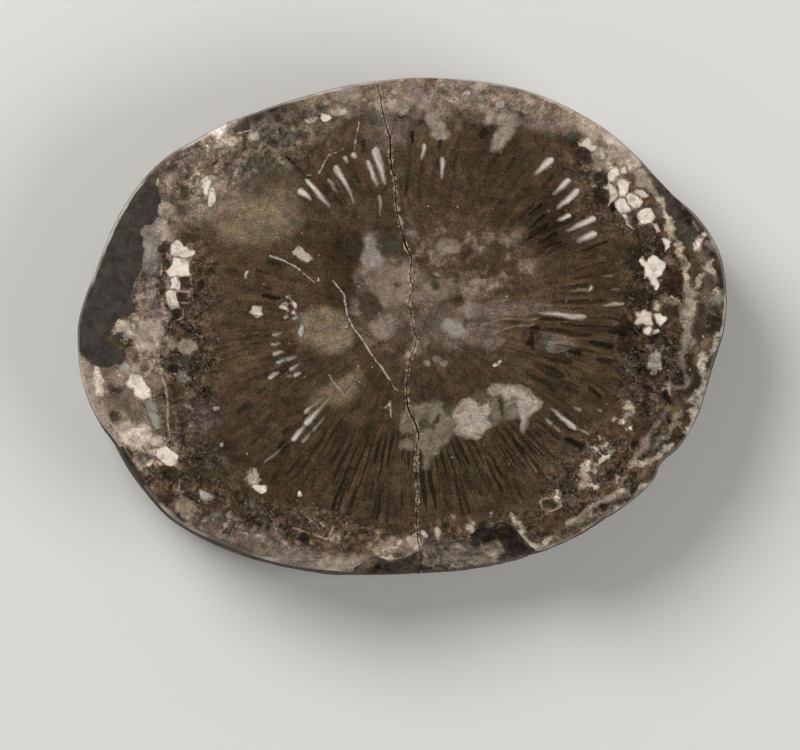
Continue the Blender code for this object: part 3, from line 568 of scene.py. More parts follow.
# Scratches, healed cracks and the thin walls of single bubbles: route, width, colour
fineLines = [
    ([(-6.4, 4.1), (-5.3, 2.7), (-5.1, 1.5), (-4.8, 0.3), (-3.6, -1.4), (-3.0, -2.4), (-1.8, -4.0),
      (-0.7, -5.8), (-0.4, -6.0)], 0.11, "scratch"),
    ([(-12.0, 6.3), (-9.8, 5.3), (-8.7, 4.4), (-8.0, 3.8)], 0.09, "scratch"),
    ([(-6.8, -4.5), (-5.5, -6.2)], 0.07, "scratch"),
    ([(-3.9, 18.5), (-4.4, 15.9)], 0.07, "scratch"),
    ([(-5.2, 16.1), (-6.7, 15.4), (-7.6, 13.7), (-8.6, 13.6)], 0.07, "scratch"),
    ([(-1.6, -7.6), (-1.0, -7.0)], 0.08, "scratch"),
    ([(-1.1, -7.0), (-1.0, -8.4)], 0.08, "scratch"),
    ([(-15.2, 17.4), (-13.7, 17.6)], 0.09, "scratch"),
    ([(-22.2, 13.3), (-22.3, 12.4)], 0.09, "scratch"),
    ([(-22.8, -1.7), (-22.5, -3.1), (-22.8, -4.0), (-23.5, -4.9)], 0.15, "plate"),
    ([(-22.0, -4.3), (-21.5, -5.7), (-21.3, -7.0), (-21.3, -8.8), (-21.1, -10.1)], 0.16, "plate"),
    ([(-23.9, -3.1), (-23.1, -3.0)], 0.13, "plate"),
    ([(-20.2, -14.1), (-20.3, -15.2)], 0.11, "plate"),
    ([(12.5, -16.1), (13.1, -15.7), (14.0, -15.7), (14.5, -16.5), (13.9, -16.8), (13.3, -17.0),
      (12.8, -16.8), (12.5, -16.1)], 0.16, "plate"),
    ([(23.8, 2.0), (24.0, 2.4), (24.5, 2.5), (25.0, 2.2), (25.3, 1.8)], 0.15, "plate"),
    ([(-8.6, -17.5), (-7.7, -18.3), (-7.5, -18.7)], 0.11, "plate"),
    ([(-8.0, -19.2), (-6.6, -19.4), (-6.3, -18.4)], 0.15, "plate"),
    ([(-10.8, -19.8), (-10.1, -20.4)], 0.11, "plate"),
    ([(-9.9, -18.5), (-8.2, -19.1)], 0.11, "plate"),
    ([(-20.4, 4.5), (-19.2, 4.5), (-19.1, 3.2), (-20.3, 3.1), (-20.4, 4.5)], 0.11, "plate"),
    ([(-20.4, 3.0), (-19.4, 3.0), (-19.3, 2.0), (-20.4, 2.0)], 0.11, "plate"),
    ([(-21.0, 1.4), (-20.4, 1.7), (-19.9, 1.3), (-19.9, 0.7), (-20.4, 0.4)], 0.11, "plate"),
    ([(14.3, 0.1), (16.6, -0.15), (18.4, -0.25), (19.6, -0.4), (20.2, -0.8)], 0.15, "mud"),
    ([(15.7, -0.5), (17.0, -0.6), (18.4, -0.75), (20.2, -0.95)], 0.13, "mud"),
    ([(15.6, -4.8), (16.8, -5.0), (17.8, -5.7), (18.6, -5.9)], 0.12, "umber"),
    ([(7.3, 0.0), (9.0, 0.5), (12.3, 0.5)], 0.15, "haze"),
    ([(8.1, -0.9), (10.4, -0.1), (12.0, 0.0)], 0.13, "haze"),
    ([(8.5, -1.5), (9.2, -2.1), (10.0, -2.5)], 0.13, "haze"),
]

# Layers of the outer wall, each over those before it: route, width, colour
rimBands = [
    ([(-29.3, -2.3), (-29.0, -4.3), (-28.2, -6.5), (-27.1, -8.8), (-25.7, -11.0)], 0.9, "petal"),
    ([(23.7, 11.4), (23.9, 10.6), (24.0, 9.4), (24.4, 8.7), (25.0, 7.7), (25.4, 6.3), (25.7, 5.3),
      (25.9, 4.2), (26.1, 2.8)], 0.42, "cream"),
    ([(26.1, 2.8), (26.4, 1.4), (26.2, 0.6), (26.0, -0.3), (25.9, -1.3)], 0.7, "rim"),
    ([(27.3, 1.6), (27.2, 0.4), (27.0, -1.1), (26.4, -2.2), (25.9, -2.9), (26.3, -3.8), (26.8, -4.7),
      (26.7, -5.5), (25.9, -6.2)], 0.6, "plum"),
    ([(25.9, -1.3), (25.8, -2.2), (25.3, -2.8), (25.5, -3.7), (25.9, -4.7), (25.9, -5.5)], 0.5, "fawn"),
    ([(27.2, -4.2), (27.5, -5.0), (27.1, -5.9), (26.7, -6.5), (26.2, -6.9)], 0.5, "bone"),
    ([(28.8, -0.9), (28.4, -1.8), (28.0, -2.7)], 0.5, "bone"),
    ([(29.1, -1.2), (28.6, -2.8), (28.1, -4.3), (27.7, -5.5)], 0.34, "mud"),
    ([(27.1, -6.7), (26.6, -7.7), (26.2, -8.3), (26.1, -8.9), (25.6, -9.6)], 0.5, "bone"),
    ([(24.3, -5.4), (24.9, -5.9), (25.8, -5.6)], 0.32, "fawn"),
    ([(24.0, -7.7), (23.4, -8.7), (22.7, -9.7), (22.1, -10.7), (21.4, -11.7), (20.6, -13.2)], 0.45, "fawn"),
    ([(25.3, -8.0), (24.6, -9.2), (24.0, -10.0), (23.2, -10.8)], 0.45, "sand"),
    ([(24.3, -11.1), (23.6, -11.5), (23.1, -12.1), (22.3, -12.5), (21.0, -12.7)], 0.45, "bone"),
    ([(20.4, -14.0), (19.3, -15.5), (17.1, -16.6), (15.0, -18.1)], 0.32, "rim"),
    ([(21.9, -14.1), (20.7, -15.1), (19.0, -16.2), (17.6, -17.0)], 0.3, "umber"),
    ([(2.2, -19.75), (3.4, -19.95), (4.4, -20.0), (5.4, -19.85), (6.1, -19.6)], 0.16, "drab"),
    ([(4.4, -21.5), (5.6, -21.7), (6.8, -21.5), (8.2, -21.6)], 0.12, "drab"),
    ([(3.2, -20.9), (4.6, -21.0), (5.8, -20.8)], 0.1, "cocoa"),
    ([(10.0, -17.4), (10.6, -18.2), (11.1, -19.2), (11.6, -19.9), (12.4, -20.3)], 0.28, "bone"),
]

# Broad soft changes of colour: middle, half sizes, tilt, softness of the edge, strength, colour
stains = [
    (-14.8, 0.4, 5.5, 8.2, 0, 0.5, 0.7, "chestnut"), (-5.2, 5.0, 2.0, 4.1, 10, 0.5, 0.6, "umber"),
    (1.6, -14.1, 11.8, 3.2, 0, 0.4, 0.8, "olive"), (-14.8, -13.2, 6.4, 4.1, 0, 0.5, 0.8, "cocoa"),
    (-5.7, -8.7, 5.5, 3.6, 0, 0.5, 0.8, "olive"), (17.0, -4.1, 4.5, 5.5, 0, 0.5, 0.8, "olive"),
    (4.3, 11.3, 5.5, 3.6, 0, 0.5, 0.6, "chestnut"), (-6.6, 15.9, 6.4, 2.7, 0, 0.5, 0.7, "chestnut"),
    (10.7, 12.2, 4.5, 4.1, 0, 0.5, 0.7, "cocoa"), (14.3, 4.0, 5.5, 2.3, 0, 0.5, 0.7, "chestnut"),
    (4.3, 5.0, 6.8, 4.5, 0, 0.5, 0.7, "chestnut"), (-1.6, 3.1, 2.5, 4.1, 0, 0.4, 0.6, "fawn"),
    (-2.6, 1.9, 1.2, 1.3, 0, 0.4, 0.6, "umber"), (22.2, 2.5, 1.8, 6.5, -5, 0.5, 0.6, "umber"),
    (-7.3, -0.3, 2.5, 1.8, 0, 0.35, 0.95, "honey"), (-13.2, 10.2, 3.5, 2.9, 0, 0.4, 0.85, "honey"),
    (-5.7, -6.2, 2.4, 1.1, 35, 0.5, 0.7, "honey"), (4.8, -0.5, 4.1, 1.4, 0, 0.5, 0.6, "fawn"),
    (10.2, -1.4, 1.5, 1.1, 0, 0.5, 0.4, "rust"), (8.9, 1.3, 5.5, 0.7, 0, 0.5, 0.5, "fawn"),
    (14.3, -1.9, 1.4, 1.1, 0, 0.5, 0.6, "fawn"), (2.5, 21.1, 12.7, 2.2, 0, 0.35, 0.9, "tan"),
    (-5.2, 20.4, 4.5, 1.3, 0, 0.4, 0.7, "honey"), (-1.1, 18.1, 2.3, 2.3, 0, 0.5, 0.5, "fawn"),
    (-17.0, 14.5, 5.0, 4.1, 35, 0.4, 0.85, "fawn"), (-18.0, 12.2, 1.6, 2.5, 0, 0.5, 0.7, "pale"),
    (-16.4, 17.4, 1.8, 1.3, 30, 0.4, 0.8, "cream"), (-13.0, 18.1, 3.2, 1.3, 20, 0.5, 0.7, "plum"),
    (-13.0, 14.0, 4.1, 2.0, 0, 0.5, 0.7, "chestnut"), (-22.0, 5.9, 1.5, 5.5, 0, 0.4, 0.8, "fawn"),
    (-22.8, 7.7, 0.9, 3.6, 0, 0.4, 0.8, "slate"), (-18.9, -0.5, 2.0, 7.3, 0, 0.5, 0.8, "olive"),
    (-20.4, 5.0, 1.3, 3.2, 0, 0.5, 0.4, "pale"), (-26.6, -6.9, 4.1, 4.1, -50, 0.4, 0.9, "tan"),
    (-28.9, -5.5, 1.1, 2.3, 0, 0.5, 0.8, "cream"), (-23.4, -11.0, 3.6, 1.6, -30, 0.4, 0.8, "pale"),
    (-21.1, -15.0, 2.7, 2.3, -45, 0.5, 0.7, "chestnut"), (-13.9, -19.6, 8.2, 1.3, -18, 0.4, 0.8, "fawn"),
    (-6.6, -21.6, 4.5, 0.7, 0, 0.5, 0.8, "tan"), (-6.6, -19.1, 2.3, 1.1, 0, 0.5, 0.6, "cocoa"),
    (-0.2, -20.3, 2.7, 0.7, 0, 0.5, 0.8, "pale"), (6.1, -20.5, 4.5, 1.1, 0, 0.4, 0.8, "fawn"),
    (18.0, -17.8, 5.5, 1.5, 35, 0.4, 0.6, "fawn"), (26.1, -6.9, 2.0, 8.2, -10, 0.4, 0.7, "cocoa"),
    (27.5, 2.2, 1.6, 5.5, 0, 0.4, 0.6, "ash"), (17.0, 18.1, 3.2, 1.5, -35, 0.4, 0.9, "cream"),
    (19.8, 15.9, 2.7, 2.0, -40, 0.4, 0.9, "cream"), (25.2, 10.9, 4.1, 1.1, -50, 0.4, 0.9, "plum"),
    (20.7, 5.0, 3.2, 4.5, 0, 0.5, 0.7, "cocoa"), (16.6, 16.3, 1.6, 1.3, 0, 0.5, 0.7, "soot"),
    (23.4, -6.0, 1.6, 1.3, 0, 0.5, 0.8, "plum"), (22.5, -2.3, 2.3, 2.7, 0, 0.5, 0.7, "chestnut"),
    (19.8, -9.6, 1.6, 2.3, 0, 0.5, 0.5, "rust"), (13.4, 8.6, 1.7, 2.4, -15, 0.5, 0.5, "umber"),
    (12.5, 19.5, 3.6, 1.6, -25, 0.4, 0.8, "tan"), (7.5, 17.7, 0.9, 1.1, 0, 0.5, 0.7, "cocoa"),
    (1.1, 17.7, 0.9, 1.4, 0, 0.5, 0.7, "chestnut"), (22.9, 1.0, 2.0, 8.6, 0, 0.4, 0.8, "umber"),
    (-19.4, 0.2, 1.7, 6.4, 0, 0.4, 0.8, "umber"), (-23.2, 1.4, 1.7, 5.6, 14, 0.4, 0.85, "fawn"),
    (-12.5, 15.4, 3.4, 2.2, 20, 0.5, 0.8, "ash"), (-8.8, 18.3, 4.2, 1.6, 15, 0.5, 0.7, "ash"),
    (-23.6, -3.2, 1.8, 1.6, 0, 0.5, 0.6, "fawn"), (18.4, 11.8, 0.6, 2.0, -10, 0.5, 0.8, "soot"),
    (-11.2, 14.6, 2.6, 1.3, -35, 0.5, 0.75, "lichen"), (-18.2, -8.4, 1.6, 1.3, 0, 0.6, 0.7, "mauve"),
    (19.8, -12.0, 2.4, 3.6, -35, 0.5, 0.5, "umber"), (21.8, 1.0, 1.3, 8.0, 0, 0.4, 0.6, "soot"),
]

# Where each kind of fabric shows: middle, half sizes, tilt, softness of the edge, strength, which takes
# away where it is below zero
fabricPlaces = {
    # where the arris is painted pale: scuffed wear, and painted highlights along the bevel's lit edges
    "scuffs": [
        (-25.0, 10.5, 2.6, 7.0, -32, 0.4, 1.0), (-18.0, 17.4, 4.5, 1.2, 35, 0.5, 0.6),
        (-10.0, 20.6, 6.0, 1.2, 15, 0.5, 0.5), (25.0, 11.4, 6.0, 1.2, -48, 0.5, 0.5),
        (12.5, -20.4, 2.4, 1.2, 20, 0.5, 0.8), (-28.0, -7.0, 1.2, 4.0, 25, 0.5, 0.6),
    ],
    "septa": [
        (1.6, -13.7, 12.7, 4.4, 0, 0.35, 1.0), (-9.3, -11.0, 4.1, 3.6, 0, 0.5, 0.7),
        (-13.9, -2.3, 3.2, 6.4, 0, 0.5, 0.45), (11.6, -11.9, 4.5, 3.6, 0, 0.4, 0.9),
        (14.3, -5.0, 3.2, 3.6, 0, 0.5, 0.5),
    ],
    "wideSepta": [
        (16.6, -1.9, 4.5, 5.9, 0, 0.4, 0.9), (14.3, 9.5, 3.8, 4.5, 0, 0.4, 0.8),
        (3.4, 15.4, 5.5, 2.3, 0, 0.5, 0.45), (-6.6, 12.7, 4.5, 2.7, 0, 0.5, 0.5),
        (-10.2, -3.2, 2.7, 4.5, 0, 0.5, 0.4),
    ],
    "fibres": [
        (0.0, 0.4, 19.5, 16.8, 0, 0.15, 0.9), (1.6, 5.0, 8.2, 5.5, 0, 0.5, -0.7),
        (-7.3, -0.3, 3.0, 2.2, 0, 0.5, -0.45), (-13.2, 10.2, 4.0, 3.0, 0, 0.5, -0.45),
    ],
    "mottles": [
        (4.8, 5.1, 7.3, 4.7, 0, 0.3, 1.0), (-1.3, 3.1, 3.1, 5.3, 0, 0.3, 1.0),
        (2.0, -0.5, 4.1, 2.7, 0, 0.4, 0.6), (7.0, -0.5, 3.6, 1.8, 0, 0.5, 0.5),
    ],
    "bubbles": [
        (-20.0, -0.5, 3.3, 10.9, 0, 0.4, 1), (-19.3, -14.1, 6.8, 3.6, -40, 0.4, 1),
        (-9.3, -18.2, 10.0, 2.2, -8, 0.4, 0.9), (8.9, -18.7, 10.0, 1.5, 5, 0.4, 0.8),
        (18.0, -13.7, 6.4, 3.5, 40, 0.4, 1), (22.7, -1.4, 3.3, 10.0, 0, 0.4, 1),
        (19.8, 12.2, 5.5, 3.8, -45, 0.4, 0.9), (-17.0, 15.0, 5.9, 3.5, 35, 0.4, 0.7),
        (-23.4, 0.6, 2.6, 6.5, 12, 0.4, 0.8), (-11.0, 16.8, 5.5, 2.8, 18, 0.5, 0.7),
        (2.5, 20.0, 13.6, 2.4, 0, 0.4, 0.4),
    ],
    "layers": [
        (27.2, 0.4, 2.7, 10.0, 0, 0.4, 0.8), (22.5, -14.1, 8.2, 2.7, 48, 0.4, 0.9),
        (-27.5, -7.8, 2.7, 5.5, 0, 0.4, 0.6), (-23.0, -14.1, 5.5, 2.0, -50, 0.4, 0.6),
        (-13.9, -20.0, 8.2, 1.3, -18, 0.4, 0.5), (19.8, -17.8, 5.5, 1.3, 30, 0.4, 0.8),
    ],
}

stainColours = {
    "umber": "#2e2113",
    "soot": "#221910",
    "olive": "#403425",
    "cocoa": "#403324",
    "chestnut": "#4e3e2e",
    "rust": "#65503c",
    "honey": "#7a6a56",
    "fawn": "#75665a",
    "tan": "#877568",
    "slate": "#867c71",
    "pale": "#9c8b7a",
    "cream": "#b39f8b",
    "plum": "#3b302a",
    "ash": "#65594c",
    "mauve": "#5a4b49",
    "lichen": "#57503f",
}

minerals = {
    "white": "#e4d7c9",
    "pearl": "#cdbeae",
    "milky": "#cbbeb2",
    "bone": "#b3a594",
    "cream": "#bfad95",
    "grey": "#a0978d",
    "pink": "#a28c80",
    "peach": "#ad9583",
    "blue": "#a5a299",
    "green": "#8c8570",
    "tan": "#96856c",
    "sand": "#8f8272",
    "fawn": "#84766a",
    "slate": "#7f786f",
    "rose": "#7d6a60",
    "rust": "#6b5040",
    "cocoa": "#66564a",
    "moss": "#45453a",
    "sage": "#77776a",
    "sienna": "#4f3a2e",
    "ochre": "#5a4727",
    "dusk": "#4a3f39",
    "drab": "#3d3523",
    "redMud": "#3a2620",
    "plum": "#32261f",
    "purple": "#2b1f20",
    "olive": "#2a2415",
    "umber": "#281e13",
    "mud": "#17110b",
    "ivory": "#aa9989",
    "pearly": "#b9aca0",
    "peachy": "#c2ae9f",
    "smoky": "#7d766a",
    "ashen": "#908a7f",
    "buff": "#827263",
    "buffDark": "#796a5b",
    "buffRose": "#85766a",
    "lilac": "#8f857c",
    "lichen": "#40402f",
    "petal": "#978679",
    "clay": "#9a8d7e",
    "walnut": "#5e4e44",
    "blotch": "#a89a8c",
    "blotchRose": "#b3a398",
    "blotchPale": "#bcae9f",
    "blotchSage": "#7c7263",
    "swirl": "#746b5d",
    "greenPale": "#7a6e5e",
    "topBlotch": "#988a7c",
    "greyPale": "#8e857c",
    "scratch": "#cdc4b8",
    "plate": "#a89684",
    "haze": "#86765f",
    "rim": "#9c8c7b",
}
baseBrown = "#483a2b"


def linear(hexColour):  # sRGB hex to the linear values that sockets take
    channels = [int(hexColour[i:i + 2], 16) / 255 for i in (1, 3, 5)]
    return tuple(c / 12.92 if c <= 0.04045 else ((c + 0.055) / 1.055) ** 2.4 for c in channels)


def polar(points):
    return np.array(sorted((math.atan2(y, x), math.hypot(x, y)) for x, y in points))


def radiusAt(corners, angles):  # closed smooth curve through polar corners
    turn = 2 * math.pi
    angle = np.concatenate((corners[-2:, 0] - turn, corners[:, 0], corners[:2, 0] + turn))
    radius = np.concatenate((corners[-2:, 1], corners[:, 1], corners[:2, 1]))
    i = np.clip(np.searchsorted(angle, angles, side="right") - 1, 1, len(angle) - 3)
    slope = (radius[2:] - radius[:-2]) / (angle[2:] - angle[:-2])
    span = angle[i + 1] - angle[i]
    t = (angles - angle[i]) / span
    return (
        (2 * t**3 - 3 * t**2 + 1) * radius[i]
        + (t**3 - 2 * t**2 + t) * span * slope[i - 1]
        + (3 * t**2 - 2 * t**3) * radius[i + 1]
        + (t**3 - t**2) * span * slope[i]
    )


def smoothPath(points, step):  # a curve through the points, with a point every step
    p = np.array(points, float)
    p = np.vstack((2 * p[0] - p[1], p, 2 * p[-1] - p[-2]))
    out = []
    for i in range(1, len(p) - 2):
        count = max(1, round(np.linalg.norm(p[i + 1] - p[i]) / step))
        for t in np.arange(count) / count:
            out.append(0.5 * (2 * p[i] + (p[i + 1] - p[i - 1]) * t
                              + (2 * p[i - 1] - 5 * p[i] + 4 * p[i + 1] - p[i + 2]) * t**2
                              + (3 * p[i] - p[i - 1] - 3 * p[i + 1] + p[i + 2]) * t**3))
    return np.array(out + [p[-2]])


def closedPath(corners, step):  # once round straight sides, with a point about every step
    ring = np.array(list(corners) + [corners[0]], float)
    counts = [max(1, round(np.linalg.norm(b - a) / step)) for a, b in zip(ring[:-1], ring[1:])]
    sides = [a + (b - a) * np.arange(n)[:, None] / n for a, b, n in zip(ring[:-1], ring[1:], counts)]
    return np.vstack(sides + [ring[:1]])


def rough(places, size, detail=3):  # fractal noise at many places, about -1 to 1
    return np.array([noise.fractal(Vector(p) / size, 0.6, 2.0, detail) for p in places])


def lifted(p, z):  # places on the face at height z; other heights give noise of its own
    return np.column_stack((p, np.full(len(p), float(z))))


def uneven(p, size, amount):  # places pushed about by noise, so that outlines drawn there come out irregular
    push = np.column_stack((rough(lifted(p, 41), size), rough(lifted(p, 57), size)))
    return p + push * amount


def evened(points, size, amount):  # the places that uneven() carries to these points
    found = points
    for _ in range(4):
        found = points - (uneven(found, size, amount) - found)
    return found


def softStep(low, high, values):
    t = np.clip((values - low) / (high - low), 0, 1)
    return t * t * (3 - 2 * t)


# Fields give a distance in mm at each place of p, below zero inside the shape


def pathField(p, path):
    best = np.full(len(p), 1e3)
    for start, stop in zip(path[:-1], path[1:]):
        way = np.subtract(stop, start)
        t = np.clip((p - start) @ way / max(way @ way, 1e-9), 0, 1)
        best = np.minimum(best, np.linalg.norm(p - start - t[:, None] * way, axis=1))
    return best


def lineField(p, path, width):
    return pathField(p, path) - width / 2


def areaField(p, corners):
    ring = np.array(list(corners) + [corners[0]])
    inside = np.zeros(len(p), bool)
    for (x0, y0), (x1, y1) in zip(ring[:-1], ring[1:]):
        crosses = (y0 > p[:, 1]) != (y1 > p[:, 1])
        inside ^= crosses & (p[:, 0] < (x1 - x0) * (p[:, 1] - y0) / (y1 - y0 + 1e-12) + x0)
    return np.where(inside, -1, 1) * pathField(p, ring)


def barEnds(turn, inner, outer, lean):  # inner end of a gap between septa, and the way to its outer end
    start, stop = (
        np.array(sliceShape["axis"]) + reach * np.array((math.cos(angle), math.sin(angle)))
        for angle, reach in ((math.radians(turn), inner), (math.radians(turn + lean), outer))
    )
    return start, stop - start


def barWidth(t):  # a gap between septa narrows towards the axis and ends bluntly
    return (0.5 + 0.5 * t) * (1 - np.abs(2 * t - 1) ** 8) ** 0.5


def barField(p, turn, inner, outer, width, lean=0.0):
    start, way = barEnds(turn, inner, outer, lean)
    t = np.clip((p - start) @ way / (way @ way), 0, 1)
    return np.linalg.norm(p - start - t[:, None] * way, axis=1) - width / 2 * barWidth(t)


def barOutline(turn, inner, outer, width, lean=0.0):
    start, way = barEnds(turn, inner, outer, lean)
    count = 5 + round((outer - inner) / sliceShape["barPoint"])
    t = (1 - np.cos(math.pi * np.linspace(0, 1, count))) / 2
    side = np.array((-way[1], way[0])) / np.linalg.norm(way) * width / 2
    middle = start + t[:, None] * way
    out = barWidth(t)[:, None] * side
    return [np.vstack((middle + out, (middle - out)[-2:0:-1], middle[:1])), middle[1:-1]]


def ovalReach(p, x, y, halfX, halfY, tilt):  # 0 in the middle of an oval, 1 on its edge
    c, s = math.cos(math.radians(tilt)), math.sin(math.radians(tilt))
    u = (p[:, 0] - x) * c + (p[:, 1] - y) * s
    v = (p[:, 1] - y) * c - (p[:, 0] - x) * s
    return np.hypot(u / halfX, v / halfY)


def ovalField(p, x, y, halfX, halfY, tilt=0):
    reach = ovalReach(p, x, y, halfX, halfY, tilt)
    far = np.hypot(p[:, 0] - x, p[:, 1] - y)
    return np.where(reach > 0.05, (reach - 1) * far / np.maximum(reach, 0.05), -min(halfX, halfY))


def ovalOutline(x, y, halfX, halfY, tilt=0):
    count = 1 + max(8, round((halfX + halfY) * math.pi / sliceShape["outlinePoint"]))
    around = np.linspace(0, 2 * math.pi, count)
    c, s = math.cos(math.radians(tilt)), math.sin(math.radians(tilt))
    u, v = halfX * np.cos(around), halfY * np.sin(around)
    return [np.column_stack((x + u * c - v * s, y + u * s + v * c)), np.array(((x, y),))]


def softOval(p, x, y, halfX, halfY, tilt, soft, strength):  # an oval's strength, fading out across its edge
    return strength * (1 - softStep(1 - soft, 1 + soft, ovalReach(p, x, y, halfX, halfY, tilt)))


def nearestRow(p, rows, shape, seam=0.0):  # distance to the nearest edge, seams left open, and which row
    far = np.array([shape(p, *row[:-1]) for row in rows])
    best, second = np.partition(far, 1, axis=0)[:2]
    if seam > 0:
        best = np.maximum(best, seam - (second - best) / 2)
    return best, far.argmin(axis=0)


def nearestFill(p, rows, shape, seam=0.0):  # the same distance, and the nearest row's colour
    best, chosen = nearestRow(p, rows, shape, seam)
    return best, np.array([linear(minerals[row[-1]]) for row in rows])[chosen]


def stackedFill(p, *layers):  # distance and colour, each row of each layer laid over those before it
    best = np.full(len(p), 1e3)
    colour = np.zeros((len(p), 3))
    for rows, shape in layers:
        for *outline, mineral in rows:
            far = shape(p, *outline)
            over = (far < 0) | ((best > 0) & (far < best))
            best[over] = far[over]
            colour[over] = linear(minerals[mineral])
    return best, colour


def deeper(first, second):  # of two fills, the one that each point lies deeper in
    closer = second[0] < first[0]
    return np.where(closer, second[0], first[0]), np.where(closer[:, None], second[1], first[1])


def crackWidthAt(y):
    return np.interp(y, *np.array(sorted(crackWidth)).T)


def crackRoute():  # middle of the crack, with a break's small wiggles
    route = smoothPath(crackPath, sliceShape["crackPoint"])
    route[:, 0] += 0.09 * rough(lifted(route, 3), 0.5) + 0.04 * rough(lifted(route, 8), 0.3)
    return route


def crackLines(route):  # left lip, middle and right lip, each meeting the rim at its own points
    step = np.gradient(route, axis=0)
    side = np.column_stack((-step[:, 1], step[:, 0])) / np.linalg.norm(step, axis=1)[:, None]
    width = crackWidthAt(route[:, 1]) * (1 + 0.35 * rough(lifted(route, 11), 0.8))
    return [(route + side * (width / 2)[:, None] * k)[1:-1] for k in (-1, 0, 1)]


def stoneFields(p):  # everything the stone's pattern needs to know at each point of the mesh
    forStains, forPatches, forGaps = (
        uneven(p, *sliceShape[wander]) for wander in ("stainWander", "patchWander", "gapWander")
    )
    tint = np.tile(linear(baseBrown), (len(p), 1))
    for *oval, colour in stains:
        tint += softOval(forStains, *oval)[:, None] * (np.array(linear(stainColours[colour])) - tint)
    seam = sliceShape["crystalSeam"]
    fills = {
        "cell": deeper(nearestFill(forPatches, crystals, ovalField, seam),
                       nearestFill(forPatches, crystalOutlines, areaField, seam)),
        "gap": nearestFill(forGaps, filledGaps, barField),
        "mud": nearestFill(forGaps, mudGaps, barField),
        "line": nearestFill(forGaps, fineLines, lineField),
        "cloud": stackedFill(forPatches, (cloudOutlines, areaField), (cloudyPatches, ovalField)),
        "patch": stackedFill(forPatches, (rindOutlines, areaField), (rindPatches, ovalField)),
        "band": stackedFill(forPatches, (rimBands, lineField)),
    }
    fields = {"tint": tint}
    for name, (distance, colour) in fills.items():
        fields[name + "Mm"], fields[name + "Tint"] = distance, colour
    nearest = nearestRow(forGaps, filledGaps, barField)[1]
    inner, outer = np.array([row[1:3] for row in filledGaps])[nearest].T
    fields["gapAlong"] = (np.hypot(*(forGaps - sliceShape["axis"]).T) - inner) / (outer - inner)
    fields["matrixMm"] = areaField(forPatches, matrixEdge)
    fields["crackMm"] = pathField(p, crackRoute()) - crackWidthAt(p[:, 1]) / 2
    for name, rows in fabricPlaces.items():
        shown = np.zeros(len(p))
        for row in rows:
            share = softOval(forStains, *row)
            shown = np.maximum(shown, share) if row[-1] > 0 else np.maximum(shown + share, 0)
        fields[name] = shown
    return fields


def rimAngles():  # evenly round the rim, with the crack's two lips and its middle at both ends
    count = round(2 * math.pi * sliceShape["rimRadius"] / sliceShape["rimPoint"])
    angles = -math.pi + 2 * math.pi * (np.arange(count) + 0.5) / count
    special = []
    for x, y in (crackPath[0], crackPath[-1]):
        middle = math.atan2(y, x)
        half = crackWidthAt(y) / 2 / math.hypot(x, y)
        special += [middle - half, middle, middle + half]
        angles = angles[np.abs(angles - middle) > half * sliceShape["lipRoom"]]
    return np.sort(np.concatenate((angles, special))), np.array(special)


def hexGrid(step):
    farX, farY = sliceShape["gridReach"]
    rows = np.arange(-farY, farY, step * math.sqrt(3) / 2)
    x, y = np.meshgrid(np.arange(-farX, farX, step), rows)
    x = x + (np.arange(len(rows)) % 2 * step / 2)[:, None]
    return np.column_stack((x.ravel(), y.ravel()))


def triangulated(points, edges):  # corners, triangles facing up, and the corner that each point became
    made = delaunay_2d_cdt([Vector(p) for p in points], edges, [], 1, 1e-5)
    places = np.array([tuple(v) for v in made[0]])
    faces = np.array([f for f in made[2] if len(f) == 3])
    a, b, c = places[faces[:, 0]], places[faces[:, 1]], places[faces[:, 2]]
    area = (b[:, 0] - a[:, 0]) * (c[:, 1] - a[:, 1]) - (c[:, 0] - a[:, 0]) * (b[:, 1] - a[:, 1])
    faces[area < 0] = faces[area < 0][:, ::-1]
    own = {source: i for i, sources in enumerate(made[3]) for source in sources}
    return places, faces, own


def patternLines():  # outlines and middles of the shapes in the pattern, which become lines of the mesh
    forGaps, forPatches = sliceShape["gapWander"], sliceShape["patchWander"]
    lines = [smoothPath(path, sliceShape["linePoint"]) for path, *rest in fineLines]
    lines += [evened(smoothPath(path, sliceShape["bandPoint"]), *forPatches) for path, *rest in rimBands]
    for row in filledGaps + mudGaps:
        lines += [evened(line, *forGaps) for line in barOutline(*row[:-1])]
    for row in crystals + rindPatches:
        if row in crystals or min(row[2:4]) < sliceShape["smallPatch"]:
            lines += [evened(line, *forPatches) for line in ovalOutline(*row[:-1])]
    for corners, colour in crystalOutlines + cloudOutlines + rindOutlines:
        lines.append(evened(closedPath(corners, sliceShape["outlinePoint"]), *forPatches))
    return lines


def faceMesh(faceCorners, angles, rim, special):  # triangles of the polished face, with its lines in them
    def room(places):  # mm from the rim
        reach = np.hypot(places[:, 0], places[:, 1])
        return radiusAt(faceCorners, np.arctan2(places[:, 1], places[:, 0])) - reach

    route = crackRoute()
    crackRoom, gridRoom, lineRoom = (sliceShape[name] for name in ("crackRoom", "gridRoom", "lineRoom"))
    grid = hexGrid(sliceShape["facePoint"])
    grid = grid[room(grid) > gridRoom]
    points = [rim, grid[pathField(grid, route) > crackRoom]]
    edges = [(i, (i + 1) % len(rim)) for i in range(len(rim))]
    count = len(rim) + len(points[1])
    ends = np.searchsorted(angles, special)
    for line, start, stop in zip(crackLines(route), ends[[2, 1, 0]], ends[[3, 4, 5]]):
        points.append(line)
        chain = [start, *range(count, count + len(line)), stop]
        edges += zip(chain[:-1], chain[1:])
        count += len(line)
    for line in patternLines():
        if pathField(line, route).min() < crackRoom or room(line).min() < lineRoom:
            continue
        points.append(line)
        edges += [(i, i + 1) for i in range(count, count + len(line) - 1)]
        count += len(line)
    return triangulated(np.vstack(points), [(int(a), int(b)) for a, b in edges])


def upTo(value, full):  # grows from 0 and stays at 1 past the full value
    return min(1.0, max(0.0, value / full))


